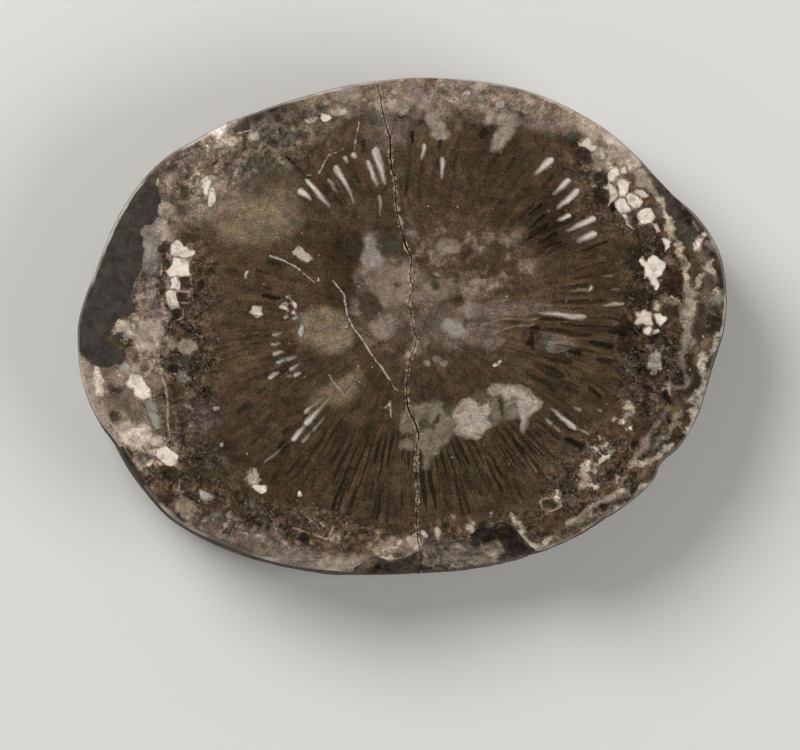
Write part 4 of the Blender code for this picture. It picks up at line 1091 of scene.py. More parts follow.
def wallRow(level, angles, faceRadius, wallRadius):
    look = sliceShape
    height = np.full(len(angles), level * look["thickness"])
    sections = np.array(wallSection)[::-1]
    reach, drawnIn = (np.interp(level, sections[:, 0], sections[:, i]) for i in (1, 2))
    spread = wallRadius - faceRadius
    chipped = softStep(*look["chipSpread"], spread)
    reach = reach + chipped * (np.interp(level, *np.array(chipSection)[::-1].T) - reach)
    radius = faceRadius + reach * spread - drawnIn
    below = (1 - level) * look["thickness"] - look["arrisRows"][-1]
    relief = upTo(below, look["reliefGrows"]) * min(1.0, level * look["thickness"] / look["reliefFades"])
    broken = chipped * upTo(level - look["chipFoot"], 0.1)
    places = np.column_stack((radius * np.cos(angles), radius * np.sin(angles), height))
    hollow = np.zeros(len(angles))
    if relief > 0:
        sway = np.sin(2 * angles + 0.7) + 0.5 * np.sin(5 * angles + 2.1)
        strayed = 0.9 * sway + 0.8 * rough(places, 7.0, 2)
        wrinkle = 1 - np.cos(2 * math.pi * (height + strayed) / look["wrinklePitch"])
        wrinkle *= 0.8 + 0.6 * rough(lifted(places[:, :2], 70), 6.0, 2)
        ribs = (1 - np.cos(angles * look["septa"])) * (0.7 + 0.5 * rough(places, 3.0, 2))
        weathered = look["weathering"] * (rough(places, 1.3, 4) + 0.8 * rough(places, 0.5, 2) + 1)
        rind = look["wrinkleDepth"] / 2 * wrinkle + look["ribDepth"] / 2 * ribs
        hollow = relief * (rind * (1 - broken) + weathered)
        soft = look["ridgeSoft"]
        radius = radius - relief * soft * np.logaddexp(0, (hollow - look["ridgeWorn"]) / soft)
        places[:, 0], places[:, 1] = radius * np.cos(angles), radius * np.sin(angles)
    steps = rough(places * (1, 1, 0.2), 1.6, 4) + 0.5 * rough(places, 0.6, 2) - 0.6
    places[:, 2] += broken * upTo(below, 0.5) * (look["chipRelief"] * steps)
    return places, hollow


def buildSlice():  # corners in mm, triangles, the material of each, and how deep the wall is hollowed
    faceCorners, wallCorners = polar(faceEdge), polar(wallLine)
    angles, special = rimAngles()
    faceRadius, wallRadius = radiusAt(faceCorners, angles), radiusAt(wallCorners, angles)
    wallRadius = np.maximum(wallRadius, faceRadius + sliceShape["leastSpread"])
    rim = np.column_stack((np.cos(angles), np.sin(angles))) * faceRadius[:, None]
    n = len(rim)
    thickness = sliceShape["thickness"]
    top, topFaces, own = faceMesh(faceCorners, angles, rim, special)
    print("polished face:", len(topFaces), "triangles")

    middle = pathField(top, crackRoute()) < 0.004
    height = thickness - np.where(middle, crackDepth["face"], 0.0)
    crackEnds = np.searchsorted(angles, special[[1, 4]])
    inward = 1 - crackDepth["face"] / faceRadius[crackEnds]
    ring = np.array([own[i] for i in range(n)])
    top[ring[crackEnds]] *= inward[:, None]
    height[ring[crackEnds]] = thickness - crackDepth["rim"]
    vertices = [np.column_stack((top, height))]
    polygons = [topFaces]
    kinds = [np.zeros(len(topFaces), int)]
    hollows = [np.zeros(len(top))]

    arris = sliceShape["arrisRows"]
    levels = [1 - down / thickness for down in arris[1:]]
    steps = (np.arange(1, sliceShape["wallRows"] + 1) / sliceShape["wallRows"]) ** sliceShape["rowsWiden"]
    levels += list(levels[-1] * (1 - steps))
    count = len(top)
    after = np.roll(np.arange(n), -1)
    for row, level in enumerate(levels):
        places, hollow = wallRow(level, angles, faceRadius, wallRadius)
        hollows.append(hollow)
        places[crackEnds, :2] *= inward[:, None]
        lowest = thickness - crackDepth["rim"] - crackDepth["row"] * (row + 1)
        places[crackEnds, 2] = np.minimum(places[crackEnds, 2], lowest)
        vertices.append(places)
        below = count + np.arange(n)
        polygons.append(np.column_stack((ring, below, below[after])))
        polygons.append(np.column_stack((ring, below[after], ring[after])))
        natural = (wallRadius - faceRadius > sliceShape["chipSpread"][0]) | (row >= len(arris) - 1)
        kinds.append(np.tile(natural.astype(int), 2))
        ring = below
        count += n

    last = vertices[-1][:, :2]
    grid = hexGrid(sliceShape["backPoint"])
    lastRadius = np.hypot(last[:, 0], last[:, 1])
    room = np.interp(np.arctan2(grid[:, 1], grid[:, 0]), angles, lastRadius, period=2 * math.pi)
    grid = grid[np.hypot(grid[:, 0], grid[:, 1]) < room - sliceShape["backRoom"]]
    back, backFaces, own = triangulated(np.vstack((last, grid)), [(i, (i + 1) % n) for i in range(n)])
    placed = np.full(len(back), -1)
    for i in range(n):
        placed[own[i]] = ring[i]
    loose = placed < 0
    placed[loose] = count + np.arange(loose.sum())
    vertices.append(lifted(back[loose], 0))
    polygons.append(placed[backFaces][:, ::-1])
    kinds.append(np.full(len(backFaces), 2))
    hollows.append(np.zeros(loose.sum()))
    return np.vstack(vertices), np.vstack(polygons), np.concatenate(kinds), np.concatenate(hollows)


def insideBox(vertices):  # middle the stone on the CAD solid and keep it within that solid's box
    low, high = (np.array(corner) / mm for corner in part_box(sliceNode))
    vertices[:, :2] += (low[:2] + high[:2]) / 2
    return np.clip(vertices, low, high)


bakeSheet = {  # the flat layout for baking: face below, back and the wall in strips above it, in mm
    "side": 1024 / 15,  # 15 texture dots for each mm of the face on a sheet of 1024
    "margin": 0.35,
    "halfFace": (29.6, 22.7),
    "aboveFace": 46.8,
    "backScale": 0.46,
    "strips": 3,
    "stripStart": 29.0,
    "stripRise": 7.1,
    "stripRadius": 18,  # the wall's length is laid out as if the stone were this wide
    "stripScale": 0.57,
}


def bakeMap(vertices, polygons, kinds, broken):
    sheet = bakeSheet
    corner = vertices[polygons]
    flat = corner[:, :, :2]
    halfX, halfY = sheet["halfFace"]
    margin = sheet["margin"]
    uv = flat + (halfX + margin, halfY + margin)  # the face, and the chip that slopes from it
    back = kinds == 2
    scale = sheet["backScale"]
    uv[back] = flat[back] * (-scale, scale) + (halfX * scale + margin, sheet["aboveFace"] + halfY * scale)
    wall = (kinds == 1) & ~broken
    around = np.arctan2(corner[:, :, 1], corner[:, :, 0])
    middle = np.arctan2(flat[:, :, 1].mean(axis=1), flat[:, :, 0].mean(axis=1))
    around = middle[:, None] + (around - middle[:, None] + math.pi) % (2 * math.pi) - math.pi
    strips = sheet["strips"]
    strip = np.minimum(((middle + math.pi) / (2 * math.pi) * strips).astype(int), strips - 1)
    start = -math.pi + strip * 2 * math.pi / strips
    u = (around - start[:, None]) * sheet["stripRadius"] + sheet["stripStart"]
    v = corner[:, :, 2] * sheet["stripScale"] + sheet["aboveFace"] + strip[:, None] * sheet["stripRise"]
    uv[wall, :, 0], uv[wall, :, 1] = u[wall], v[wall]
    return (uv / sheet["side"]).reshape(-1, 2)


def addSlice():
    vertices, polygons, kinds, hollows = buildSlice()
    vertices = insideBox(vertices)
    mesh = bpy.data.meshes.new("coralSlice")
    mesh.from_pydata(vertices * mm, [], polygons.tolist())
    mesh.polygons.foreach_set("material_index", kinds)
    mesh.polygons.foreach_set("use_smooth", np.ones(len(polygons), bool))
    p = vertices[:, :2]
    around = np.arctan2(p[:, 1], p[:, 0])
    faceRadius, wallRadius = (radiusAt(polar(edge), around) for edge in (faceEdge, wallLine))
    high = softStep(*sliceShape["chipHeight"], vertices[:, 2] / sliceShape["thickness"])
    fields = stoneFields(p)
    fields["hollowMm"] = hollows
    fields["edgeMm"] = faceRadius - np.hypot(p[:, 0], p[:, 1])
    fields["chip"] = softStep(*sliceShape["chipShows"], wallRadius - faceRadius) * high
    for name, values in fields.items():
        coloured = values.ndim == 2
        made = mesh.attributes.new(name, "FLOAT_COLOR" if coloured else "FLOAT", "POINT")
        if coloured:
            values = np.column_stack((values, np.ones(len(p)))).ravel()
        made.data.foreach_set("color" if coloured else "value", values)
    layer = mesh.uv_layers.new(name="OFBake")
    broken = fields["chip"][polygons].min(axis=1) > 0.5
    layer.data.foreach_set("uv", bakeMap(vertices, polygons, kinds, broken).ravel())
    mesh.validate()
    mesh.set_sharp_from_angle(angle=math.radians(sliceShape["sharpAngle"]))
    mesh.update()
    piece = bpy.data.objects.new("coralSlice", mesh)
    bpy.context.collection.objects.link(piece)
    print("whole slice:", len(polygons), "triangles")
    return piece


def add(tree, kind, feeds=(), **settings):  # one node, with what feeds it by name or in order
    made = tree.nodes.new(kind if kind.startswith("Node") else "ShaderNode" + kind)
    for name, value in settings.items():
        setattr(made, name, value)
    for name, value in feeds.items() if isinstance(feeds, dict) else enumerate(feeds):
        if isinstance(name, int):
            socket = made.inputs[name]
        else:
            socket = next(s for s in made.inputs if s.enabled and s.name == name)
        if isinstance(value, bpy.types.Node):
            value = next(s for s in value.outputs if s.enabled)
        if isinstance(value, bpy.types.NodeSocket):
            tree.links.new(value, socket)
        elif isinstance(value, str):
            socket.default_value = (*linear(value), 1) if socket.type == "RGBA" else linear(value)
        else:
            socket.default_value = value
    return made


def painted(tree, colour, coats):  # coats over a colour, each with its share from 0 to 1
    for share, coat in coats:
        colour = add(tree, "Mix", {"Factor": share, "A": colour, "B": coat}, data_type="RGBA")
    return colour


def shaded(tree, colour, *lights):  # a colour made lighter and darker
    for light in lights:
        colour = add(tree, "VectorMath", (colour, light), operation="MULTIPLY")
    return colour


def product(tree, *values):
    total = values[0]
    for value in values[1:]:
        total = add(tree, "Math", (total, value), operation="MULTIPLY")
    return total


def ragged(tree, distance, grain, amount, soft):  # 1 inside a shape whose edge a grain breaks up
    offset = add(tree, "Math", (grain, 0.5), operation="SUBTRACT")
    broken = add(tree, "Math", (offset, amount, distance), operation="MULTIPLY_ADD")
    return add(tree, "MapRange", (broken, soft, -soft))


def placeInMm(tree):  # object places come in metres, and every pattern is sized in mm
    places = add(tree, "TexCoord").outputs["Object"]
    return add(tree, "VectorMath", {0: places, "Scale": 1 / mm}, operation="SCALE")


def stored(tree, *names):  # fields kept on the mesh: colours where the name says tint, otherwise numbers
    made = {}
    for name in names:
        node = add(tree, "Attribute", attribute_name=name)
        made[name] = node.outputs["Color" if "tint" in name.lower() else "Fac"]
    return made


def noises(tree, places, patterns):  # noise for each row of a dictionary like stonePatterns
    made = []
    for where, perMm, detail, roughness, distortion in patterns.values():
        made.append(add(tree, "TexNoise", {"Vector": places[where], "Scale": perMm, "Detail": detail,
                                           "Roughness": roughness, "Distortion": distortion}))
    return made


septalGaps = {  # lens-shaped gaps that follow a rule: start, scatter and length in mm out from the axis
    "septa": {"count": sliceShape["septa"], "seed": 3.0, "start": 8.0, "scatter": 4.0, "length": 6.0,
              "width": 0.36, "shade": 0.46},
    "wideSepta": {"count": sliceShape["septa"] / 2, "seed": 41.0, "start": 10.0, "scatter": 4.0,
                  "length": 4.0, "width": 0.4, "shade": 0.36},
}


def gaps(tree, turn, reach, look):  # each gap has its own length and width: with its pale rim, and alone
    phase = add(tree, "Math", (turn, look["count"]), operation="MULTIPLY")
    number = add(tree, "Math", (phase,), operation="FLOOR")
    across = add(tree, "Math", (add(tree, "Math", (phase,), operation="FRACT"), 0.5), operation="SUBTRACT")
    across = add(tree, "Math", (across,), operation="ABSOLUTE")
    number = add(tree, "Math", (number, look["seed"]))
    chance = add(tree, "TexWhiteNoise", {"W": number}, noise_dimensions="1D")
    chance = add(tree, "SeparateColor", (chance.outputs["Color"],))
    inner = add(tree, "MapRange", (chance.outputs[0], 0, 1, look["start"], look["start"] + look["scatter"]))
    run = add(tree, "MapRange", (chance.outputs[1], 0, 1, look["length"] * 0.5, look["length"] * 1.5))
    along = add(tree, "Math", (reach, inner), operation="SUBTRACT")
    along = add(tree, "Math", (along, run), operation="DIVIDE", use_clamp=True)
    lens = product(tree, along, add(tree, "Math", (1.0, along), operation="SUBTRACT"), 4.0)
    lens = add(tree, "Math", (lens, 0.6), operation="POWER")
    half = add(tree, "MapRange", (chance.outputs[2], 0, 1, look["width"] * 0.4, look["width"]))
    half = product(tree, lens, half)
    inside = add(tree, "Math", (half, across), operation="SUBTRACT")
    return add(tree, "MapRange", (inside, -0.22, -0.1)), add(tree, "MapRange", (inside, -0.05, 0.08))


stonePatterns = {  # at which places, how many to the mm, detail, roughness, distortion
    "cloud": ("bent", 0.3, 4.0, 0.6, 0.0),  # 3 mm across
    "mottle": ("bent", 1.1, 5.0, 0.65, 0.0),  # 1 mm
    "blot": ("bent", 2.1, 3.0, 0.5, 0.8),  # 0.5 mm
    "grain": ("straight", 5.5, 3.0, 0.65, 0.0),  # crystal grain of 0.2 mm
    "drift": ("straight", 0.8, 4.0, 0.7, 0.0),  # slow change of hue
    "sway": ("straight", 0.22, 2.0, 0.5, 0.0),  # bends the septa a little
    "lumps": ("bent", 0.62, 5.0, 0.55, 0.0),
    "crumble": ("bent", 0.75, 4.0, 0.55, 1.2),
    "hues": ("bent", 1.3, 5.0, 0.7, 1.2),
    "ribbon": ("bent", 1.5, 3.0, 0.5, 0.8),
    "speck": ("bent", 3.4, 2.0, 0.5, 0.0),
}


def coralPattern():
    tree = bpy.data.node_groups.new("coralPattern", "ShaderNodeTree")
    for name, kind in (("Color", "Color"), ("Gloss", "Float"), ("Height", "Float")):
        tree.interface.new_socket(name, in_out="OUTPUT", socket_type="NodeSocket" + kind)
    fills = ("cell", "gap", "mud", "line", "cloud", "patch", "band")
    field = stored(tree, "tint", "gapAlong", "matrixMm", "crackMm", "edgeMm", "septa", "wideSepta", "fibres",
                   "mottles", "bubbles", "layers", *(name + end for name in fills for end in ("Mm", "Tint")))
    place = placeInMm(tree)
    bend = add(tree, "TexNoise", {"Vector": place, "Scale": 0.9, "Detail": 3.0})
    bend = add(tree, "VectorMath", (bend.outputs["Color"], (0.5, 0.5, 0.5)), operation="SUBTRACT")
    bent = add(tree, "VectorMath", (bend, (0.7, 0.7, 0.7), place), operation="MULTIPLY_ADD")
    cloud, mottle, blot, grain, drift, sway, lumps, crumble, hues, ribbon, speck = noises(
        tree, {"straight": place, "bent": bent}, stonePatterns)

    # the brown ground, clouded, mottled and grainy
    broad = add(tree, "MapRange", (cloud, 0.35, 0.65, 0.78, 1.22))
    middling = add(tree, "MapRange", (mottle, 0.35, 0.65, 0.65, 1.34))
    small = add(tree, "MapRange", (blot, 0.3, 0.7, 0.55, 1.45))
    fine = add(tree, "MapRange", (grain, 0.34, 0.66, 0.58, 1.42))
    softFine = add(tree, "MapRange", (grain, 0.34, 0.66, 0.86, 1.14))
    drift = add(tree, "VectorMath", (drift.outputs["Color"], (0.8, 0.5, 0.7), (0.6, 0.75, 0.65)),
                operation="MULTIPLY_ADD")
    colour = shaded(tree, field["tint"], drift, broad, middling, fine)
    colour = painted(tree, colour, [(field["bubbles"], shaded(tree, colour, small, middling))])

    # polar places round the coral's axis; the turn's seam lies under the open crack
    spoke = add(tree, "VectorMath", (place, (*sliceShape["axis"], 0)), operation="SUBTRACT")
    flat = add(tree, "VectorMath", (spoke, (1, 1, 0)), operation="MULTIPLY")
    reach = add(tree, "VectorMath", (flat,), operation="LENGTH").outputs["Value"]
    turned = {"Vector": flat, "Angle": math.radians(sliceShape["seamTurn"])}
    turned = add(tree, "VectorRotate", turned, rotation_type="Z_AXIS")
    parts = add(tree, "SeparateXYZ", (turned,))
    turn = add(tree, "Math", (parts.outputs[1], parts.outputs[0]), operation="ARCTAN2")
    turn = add(tree, "Math", (turn, 2 * math.pi), operation="DIVIDE")
    turn = add(tree, "Math", (sway, 0.009, turn), operation="MULTIPLY_ADD")

    # septa fan out from the axis as fine fibres, about 0.4 mm apart, with dark gaps between some
    fibre = add(tree, "CombineXYZ", (product(tree, turn, 150.0), product(tree, reach, 0.22)))
    fibre = add(tree, "TexNoise", {"Vector": fibre, "Scale": 1.0, "Detail": 4.0, "Roughness": 0.6})
    fibred = shaded(tree, colour, add(tree, "MapRange", (fibre, 0.35, 0.65, 0.72, 1.27)))
    colour = painted(tree, colour, [(field["fibres"], fibred)])
    for where, look in septalGaps.items():
        rim, dark = gaps(tree, turn, reach, look)
        shade = look["shade"]
        colour = painted(tree, colour, [
            (product(tree, rim, field[where]), shaded(tree, colour, (1.3, 1.27, 1.26))),
            (product(tree, dark, field[where]), shaded(tree, colour, (shade, shade * 0.96, shade * 0.9))),
        ])

    # pale lumps of altered skeleton near the axis
    lumps = product(tree, add(tree, "MapRange", (lumps, 0.48, 0.6)), field["mottles"],
                    add(tree, "MapRange", (mottle, 0.35, 0.6, 0.35, 0.8)))
    colour = painted(tree, colour, [(lumps, shaded(tree, sliceLooks["lump"], broad, middling, fine))])

    # flecks of pale dust, a tenth of a millimetre across and a few millimetres apart
    dots = add(tree, "TexVoronoi", {"Vector": bent, "Scale": 0.8})
    chosen = add(tree, "SeparateColor", (dots.outputs["Color"],))
    flecks = product(tree, add(tree, "MapRange", (dots.outputs["Distance"], 0.1, 0.05)),
                     add(tree, "MapRange", (chosen.outputs[0], 0.55, 0.6)),
                     add(tree, "MapRange", (chosen.outputs[1], 0, 1, 0.15, 0.7)))
    colour = painted(tree, colour, [(flecks, sliceLooks["speck"])])

    # the bubbly zone: crushed and healed bits from 2 mm down to 0.1 mm, in rose, moss, bone and mud
    rose, moss, bone = add(tree, "SeparateColor", (hues.outputs["Color"],)).outputs
    bits = painted(tree, shaded(tree, colour, add(tree, "MapRange", (crumble, 0.34, 0.66, 0.3, 1.7))), [
        (add(tree, "MapRange", (rose, 0.52, 0.62, 0, 0.4)), sliceLooks["rubbleRose"]),
        (add(tree, "MapRange", (moss, 0.54, 0.62, 0, 0.4)), sliceLooks["rubbleMoss"]),
        (add(tree, "MapRange", (bone, 0.56, 0.66, 0, 0.45)), sliceLooks["rubbleBone"]),
        (add(tree, "MapRange", (bone, 0.44, 0.34, 0, 0.7)), minerals["mud"]),
    ])
    bits = shaded(tree, bits, small)
    ribbon = add(tree, "Math", (ribbon, 0.5, 0.014), operation="COMPARE")  # thin walls of the bubbles
    ribbon = product(tree, ribbon, add(tree, "MapRange", (rose, 0.52, 0.44)), 0.28)
    sparkle = product(tree, add(tree, "MapRange", (speck, 0.68, 0.74)), 0.5)
    bits = painted(tree, bits, [(ribbon, sliceLooks["rubbleBone"]), (sparkle, sliceLooks["speck"])])
    colour = painted(tree, colour, [(field["bubbles"], bits)])

    # layers of the coral's outer wall, wavy along the rim and about 0.9 mm thick
    layer = add(tree, "CombineXYZ", (product(tree, turn, 48.0), product(tree, field["edgeMm"], 1.1)))
    layer = add(tree, "VectorMath", (bend, (1.2, 1.2, 1.2), layer), operation="MULTIPLY_ADD")
    layer = add(tree, "TexNoise", {"Vector": layer, "Scale": 1.0, "Detail": 5.0, "Roughness": 0.55})
    layered = shaded(tree, colour, add(tree, "MapRange", (layer, 0.4, 0.62, 0.5, 1.4)))
    colour = painted(tree, colour, [(field["layers"], layered)])

    # where each fill lies: what breaks its edge, by how many mm and how softly, then what thins it out
    edges = {
        "patch": (blot, 1.1, 0.15, (grain, 0.3, 0.6, 0.6, 0.95)),
        "cloud": (mottle, 0.9, 0.2, (mottle, 0.32, 0.5, 0.6, 0.95)),
        "band": (blot, 0.9, 0.14, (mottle, 0.35, 0.55, 0.4, 0.85)),
        "line": (grain, 0.22, 0.05, (mottle, 0.38, 0.5, 0.25, 0.9)),
        "mud": (grain, 0.3, 0.1, (mottle, 0.34, 0.5, 0.6, 0.95)),
        "cell": (blot, 0.3, 0.08, (crumble, 0.36, 0.44, 0.75, 1.0)),
        "gap": (blot, 0.3, 0.13, (fibre, 0.38, 0.5, 0.6, 0.95)),
    }
    share = {}
    for name, (*edge, thinned) in edges.items():
        share[name] = product(tree, ragged(tree, field[name + "Mm"], *edge), add(tree, "MapRange", thinned))
    faded = add(tree, "MapRange", (field["gapAlong"], 0.0, 0.5, 0.45, 1.0))  # towards the axis
    seat = add(tree, "Math", (field["cellMm"], field["gapMm"]), operation="MINIMUM")
    seat = add(tree, "MapRange", (seat, 0.26, 0.04, 0.0, 0.4))
    stained = add(tree, "MapRange", (field["cellMm"], -0.1, 0.04, 0.0, 0.5))
    matrix = ragged(tree, field["matrixMm"], mottle, 1.1, 0.06)

    def crumbly(low, high):
        return add(tree, "MapRange", (crumble, 0.36, 0.64, low, high))

    whites = add(tree, "MapRange", (blot, 0.3, 0.7, 0.84, 1.1))
    domed = add(tree, "MapRange", (field["gapMm"], -0.2, 0.0, 1.12, 0.75))
    clean = shaded(tree, field["cellTint"], softFine, whites, crumbly(0.8, 1.1))
    clean = painted(tree, clean, [(stained, sliceLooks["calciteEdge"])])
    stone = add(tree, "MapRange", (blot, 0.3, 0.7, 0.86, 1.14))
    colour = painted(tree, colour, [
        (share["patch"], shaded(tree, field["patchTint"], crumbly(0.66, 1.3), middling, softFine)),
        (share["cloud"], shaded(tree, field["cloudTint"], crumbly(0.7, 1.2), softFine, softFine)),
        (share["band"], shaded(tree, field["bandTint"], crumbly(0.7, 1.3), fine)),
        (share["mud"], shaded(tree, field["mudTint"], fine)),
        (seat, minerals["umber"]),
        (product(tree, share["gap"], faded), shaded(tree, field["gapTint"], softFine, whites, domed)),
        (share["cell"], clean),
        (share["line"], field["lineTint"]),
        (matrix, shaded(tree, sliceLooks["limestone"], middling, stone, softFine)),
    ])

    # the open crack with bruised pale lips, and painted shade along its core
    near = add(tree, "Math", (field["crackMm"], 0.05), operation="SUBTRACT")
    lip = product(tree, ragged(tree, near, blot, 1.2, 0.08),
                  add(tree, "MapRange", (crumble, 0.4, 0.58, 0.1, 0.8)))
    # painted shade: the crack's core darkened as if its depth fell into shade
    crackShade = product(tree, add(tree, "MapRange", (field["crackMm"], -0.03, 0.03, 1, 0)),
                   add(tree, "MapRange", (crumble, 0.38, 0.48, 0.35, 1)))
    colour = painted(tree, colour, [(lip, sliceLooks["bruise"]), (crackShade, sliceLooks["crack"])])

    gloss = add(tree, "MapRange", (grain, 0.3, 0.7, 0.11, 0.2))
    height = add(tree, "Math", (grain, mottle), operation="ADD")
    add(tree, "NodeGroupOutput", (colour, gloss, height))


def stoneMaterial(name):
    made = bpy.data.materials.new(name)
    made.use_nodes = True
    tree = made.node_tree
    tree.nodes.clear()
    pattern = add(tree, "Group", node_tree=bpy.data.node_groups["coralPattern"])
    return made, tree, pattern, placeInMm(tree)


def finishStone(tree, colour, gloss, height, depth, shine=0.5):  # depth of the relief in mm
    bump = add(tree, "Bump", {"Height": height, "Strength": 1.0, "Distance": depth * mm})
    shader = add(tree, "BsdfPrincipled", {"Base Color": colour, "Roughness": gloss, "IOR": sliceLooks["ior"],
                                          "Normal": bump, "Specular IOR Level": shine})
    add(tree, "OutputMaterial", {"Surface": shader})


facePatterns = {
    "grain": ("straight", 0.9, 3.0, 0.5, 0.0),
    "arrisBreaks": ("straight", 0.26, 2.0, 0.5, 0.0),  # how far apart the pale arris, scuff and painted highlight, is broken up, 4 mm
}


def polishedLimestone():  # ground and polished calcite: deep wet colour, a soft gloss and a scuffed arris, painted pale both as wear and as a painted highlight along the bevel
    made, tree, pattern, place = stoneMaterial("polishedCoralLimestone")
    field = stored(tree, "edgeMm", "scuffs")
    grain, arrisBreaks = noises(tree, {"straight": place}, facePatterns)
    arrisBreaks = add(tree, "Math", (field["scuffs"], 0.16, arrisBreaks), operation="MULTIPLY_ADD")
    # the pale arris: partly scuffed wear, partly a painted highlight along the bevel
    scuffedAndHighlighted = product(tree, ragged(tree, field["edgeMm"], grain, 0.5, 0.1),
                      add(tree, "MapRange", (arrisBreaks, 0.5, 0.64, 0.0, 0.9)))
    colour = painted(tree, pattern.outputs["Color"], [(scuffedAndHighlighted, sliceLooks["scuffAndEdgeHighlight"])])
    gloss = add(tree, "Math", (scuffedAndHighlighted, 0.45, pattern.outputs["Gloss"]), operation="MULTIPLY_ADD")
    finishStone(tree, colour, gloss, pattern.outputs["Height"], 0.012)
    return made


wallPatterns = {
    "dust": ("straight", 0.45, 5.0, 0.65, 0.0),  # 2 mm across
    "grit": ("straight", 2.6, 4.0, 0.7, 0.0),  # 0.4 mm
    "bands": ("banded", 1.0, 3.0, 0.5, 0.0),
    "crust": ("straight", 0.8, 4.0, 0.7, 1.0),
    "beds": ("bedded", 1.0, 5.0, 0.6, 0.6),
}


def weatheredRind():  # the coral's own outer wall: dusty, wrinkled, limestone still stuck to one side, with painted shade towards its top
    made, tree, pattern, place = stoneMaterial("weatheredCoralRind")
    field = stored(tree, "chip", "matrixMm", "hollowMm")
    places = {"straight": place}
    places["banded"] = add(tree, "VectorMath", (place, (0.25, 0.25, 2.4)), operation="MULTIPLY")
    places["bedded"] = add(tree, "VectorMath", (place, (0.5, 1.9, 1.9)), operation="MULTIPLY")
    dust, grit, bands, crust, beds = noises(tree, places, wallPatterns)
    crust = product(tree, add(tree, "MapRange", (crust, 0.6, 0.66)),
                    add(tree, "MapRange", (grit, 0.4, 0.6, 0.1, 0.75)))
    pores = add(tree, "TexVoronoi", {"Vector": place, "Scale": 1.4})
    pores = product(tree, add(tree, "MapRange", (pores.outputs["Distance"], 0.12, 0.25, 1, 0)),
                    add(tree, "MapRange", (dust, 0.5, 0.6)))
    height = add(tree, "SeparateXYZ", (place,)).outputs[2]
    # painted shade: the wall darker towards its top, just below the polished face's edge
    shadeBelowRim = add(tree, "MapRange", (height, 7.5, 11.0, 1.0, 0.62))
    ridge = product(tree, add(tree, "MapRange", (field["hollowMm"], 0.02, 0.1)),
                    add(tree, "MapRange", (field["hollowMm"], 0.34, 0.14)),
                    add(tree, "MapRange", (grit, 0.44, 0.6)))
    rind = painted(tree, sliceLooks["rind"], [
        (add(tree, "MapRange", (dust, 0.42, 0.58)), sliceLooks["dust"]),
        (add(tree, "MapRange", (bands, 0.5, 0.68, 0, 0.6)), sliceLooks["darkBandsAndHollows"]),
        # the wall darker in its hollows
        (add(tree, "MapRange", (field["hollowMm"], 0.34, 0.7, 0, 0.7)), sliceLooks["darkBandsAndHollows"]),
        (product(tree, ridge, 0.7), sliceLooks["wornRind"]),
        (crust, sliceLooks["crust"]),
        (product(tree, pores, 0.8), minerals["mud"]),
    ])
    rind = shaded(tree, rind, add(tree, "MapRange", (grit, 0.32, 0.68, 0.6, 1.4)), shadeBelowRim)
    stuck = ragged(tree, field["matrixMm"], dust, 7.0, 0.3)
    limestone = shaded(tree, sliceLooks["limestone"], add(tree, "MapRange", (grit, 0.32, 0.68, 0.68, 1.35)))

    # the broken rim shows the stone's own pattern, darker and bedded, with some crust
    beds = add(tree, "MapRange", (beds, 0.34, 0.64, 0.45, 1.5))
    fresh = shaded(tree, pattern.outputs["Color"], (0.9, 0.88, 0.84), beds)
    fresh = painted(tree, fresh, [(add(tree, "MapRange", (grit, 0.54, 0.68, 0, 0.3)), sliceLooks["crust"])])
    fresh = shaded(tree, fresh, add(tree, "MapRange", (grit, 0.34, 0.5, 0.55, 1.0)))
    colour = painted(tree, rind, [(stuck, limestone), (field["chip"], fresh)])
    relief = add(tree, "Math", (grit, pores), operation="SUBTRACT")
    gloss = add(tree, "MapRange", (grit, 0.3, 0.7, 0.7, 0.9))
    finishStone(tree, colour, gloss, relief, 0.1, shine=0.18)  # dust hides the shine
    return made


backPatterns = {
    "dust": ("straight", 0.5, 5.0, 0.5, 0.0),
    "marks": ("sawn", 1.0, 4.0, 0.7, 0.0),
}


def sawnLimestone():  # the back as the diamond saw left it: greyer, dry, with shallow parallel blade marks
    made, tree, pattern, place = stoneMaterial("sawnCoralLimestone")
    sawn = add(tree, "VectorMath", (place, (0.06, 1.6, 1.0)), operation="MULTIPLY")
    dust, marks = noises(tree, {"straight": place, "sawn": sawn}, backPatterns)
    dusty = add(tree, "MapRange", (dust, 0.3, 0.7, 0.3, 0.6))
    colour = painted(tree, pattern.outputs["Color"], [(dusty, sliceLooks["sawDust"])])
    colour = shaded(tree, colour, add(tree, "MapRange", (marks, 0.3, 0.7, 0.86, 1.12)))
    finishStone(tree, colour, add(tree, "MapRange", (marks, 0.3, 0.7, 0.6, 0.8)), marks, 0.08, shine=0.35)
    return made


studio = {
    "floorHalf": 1.2,  # metres
    "floorColour": "#d9d7d3",
    "backdrop": 0.7,
    "lens": 300.0,
    "sensor": 36,
    "frameWidth": 72.7,  # mm across the picture at the polished face
    "aim": (-0.2, -4.6),  # mm from the middle of the slice
    "elevation": 88.0,
    "worldColour": (1.0, 0.985, 0.96, 1),
    "worldStrength": 0.37,
    "overhead": 0.02,  # dark overhead: no glare in the polish
    "lights": {  # turn, height in degrees, metres away, metres across, watts
        "keyLight": (135, 48, 0.6, 0.35, 2.9),
        "fillLight": (-20, 40, 0.6, 0.4, 1.6),
    },
}


def addFloor():
    mesh = bpy.data.meshes.new("paleFloor")
    half = studio["floorHalf"]
    corners = [(-half, -half, 0), (half, -half, 0), (half, half, 0), (-half, half, 0)]
    mesh.from_pydata(corners, [], [(0, 1, 2, 3)])
    made = bpy.data.materials.new("palePaper")
    made.use_nodes = True
    tree = made.node_tree
    tree.nodes.clear()
    shader = add(tree, "BsdfPrincipled", {"Base Color": studio["floorColour"], "Roughness": 0.9})
    add(tree, "OutputMaterial", {"Surface": shader})
    mesh.materials.append(made)
    floor = bpy.data.objects.new("paleFloor", mesh)
    bpy.context.collection.objects.link(floor)


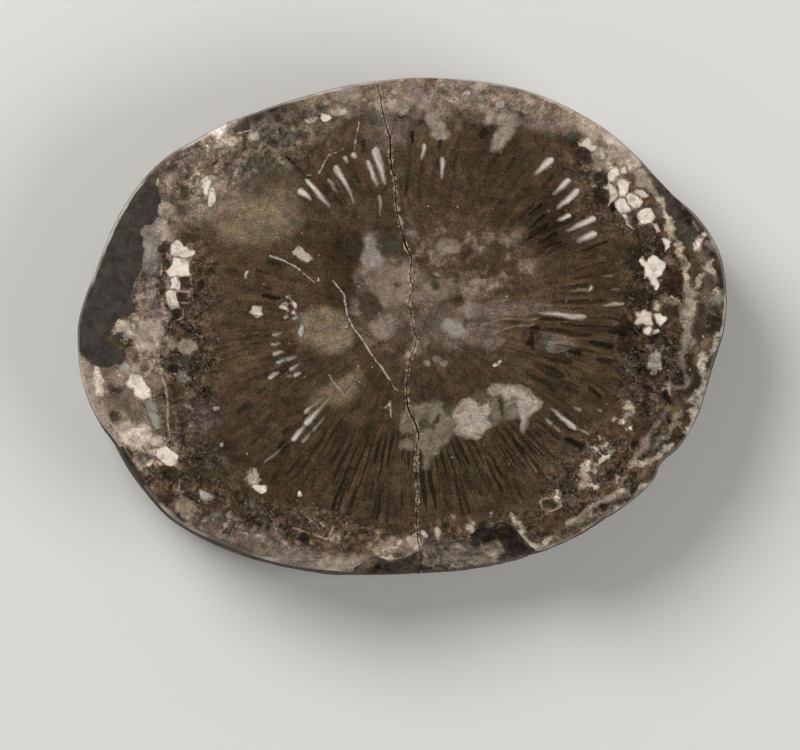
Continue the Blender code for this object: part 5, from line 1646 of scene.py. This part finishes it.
def addLight(name, azimuth, elevation, distance, size, power):
    lamp = bpy.data.lights.new(name, "AREA")
    lamp.shape = "DISK"
    lamp.size = size
    lamp.energy = power
    light = bpy.data.objects.new(name, lamp)
    a, e = math.radians(azimuth), math.radians(elevation)
    light.location = Vector((math.cos(a) * math.cos(e), math.sin(a) * math.cos(e), math.sin(e))) * distance
    light.rotation_euler = (-light.location).to_track_quat("-Z", "Y").to_euler()
    bpy.context.collection.objects.link(light)


def addCamera():
    low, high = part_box(sliceNode)
    middle = Vector(((low[0] + high[0]) / 2, (low[1] + high[1]) / 2, high[2]))
    target = middle + Vector((*studio["aim"], 0)) * mm
    lens = bpy.data.cameras.new("camera")
    lens.lens = studio["lens"]
    lens.sensor_width = studio["sensor"]
    lens.clip_start = 0.01
    distance = studio["frameWidth"] * mm * lens.lens / lens.sensor_width
    e = math.radians(studio["elevation"])
    camera = bpy.data.objects.new("camera", lens)
    camera.location = target + Vector((0, -math.cos(e), math.sin(e))) * distance
    camera.rotation_euler = (math.radians(90) - e, 0, 0)
    bpy.context.collection.objects.link(camera)
    bpy.context.scene.camera = camera


def addWorld():
    world = bpy.data.worlds.new("studio")
    world.use_nodes = True
    tree = world.node_tree
    tree.nodes.clear()
    rise = add(tree, "SeparateXYZ", (add(tree, "TexCoord").outputs["Generated"],)).outputs[2]
    dome = add(tree, "MapRange", (rise, 0.6, 0.9, studio["worldStrength"], studio["overhead"]))
    seen = add(tree, "LightPath").outputs["Is Camera Ray"]
    dome = add(tree, "Mix", {"Factor": seen, "A": dome, "B": studio["backdrop"]}, data_type="FLOAT")
    sky = add(tree, "Background", {"Color": studio["worldColour"], "Strength": dome})
    add(tree, "OutputWorld", {"Surface": sky})
    bpy.context.scene.world = world


addWorld()
bpy.context.scene.view_settings.view_transform = "Standard"
addCamera()
addFloor()
for name, placed in studio["lights"].items():
    addLight(name, *placed)
print("studio built")

coralPattern()
slicePiece = addSlice()
for material in (polishedLimestone(), weatheredRind(), sawnLimestone()):
    slicePiece.data.materials.append(material)
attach(slicePiece, "root")
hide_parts(sliceNode)
print("coral slice built")
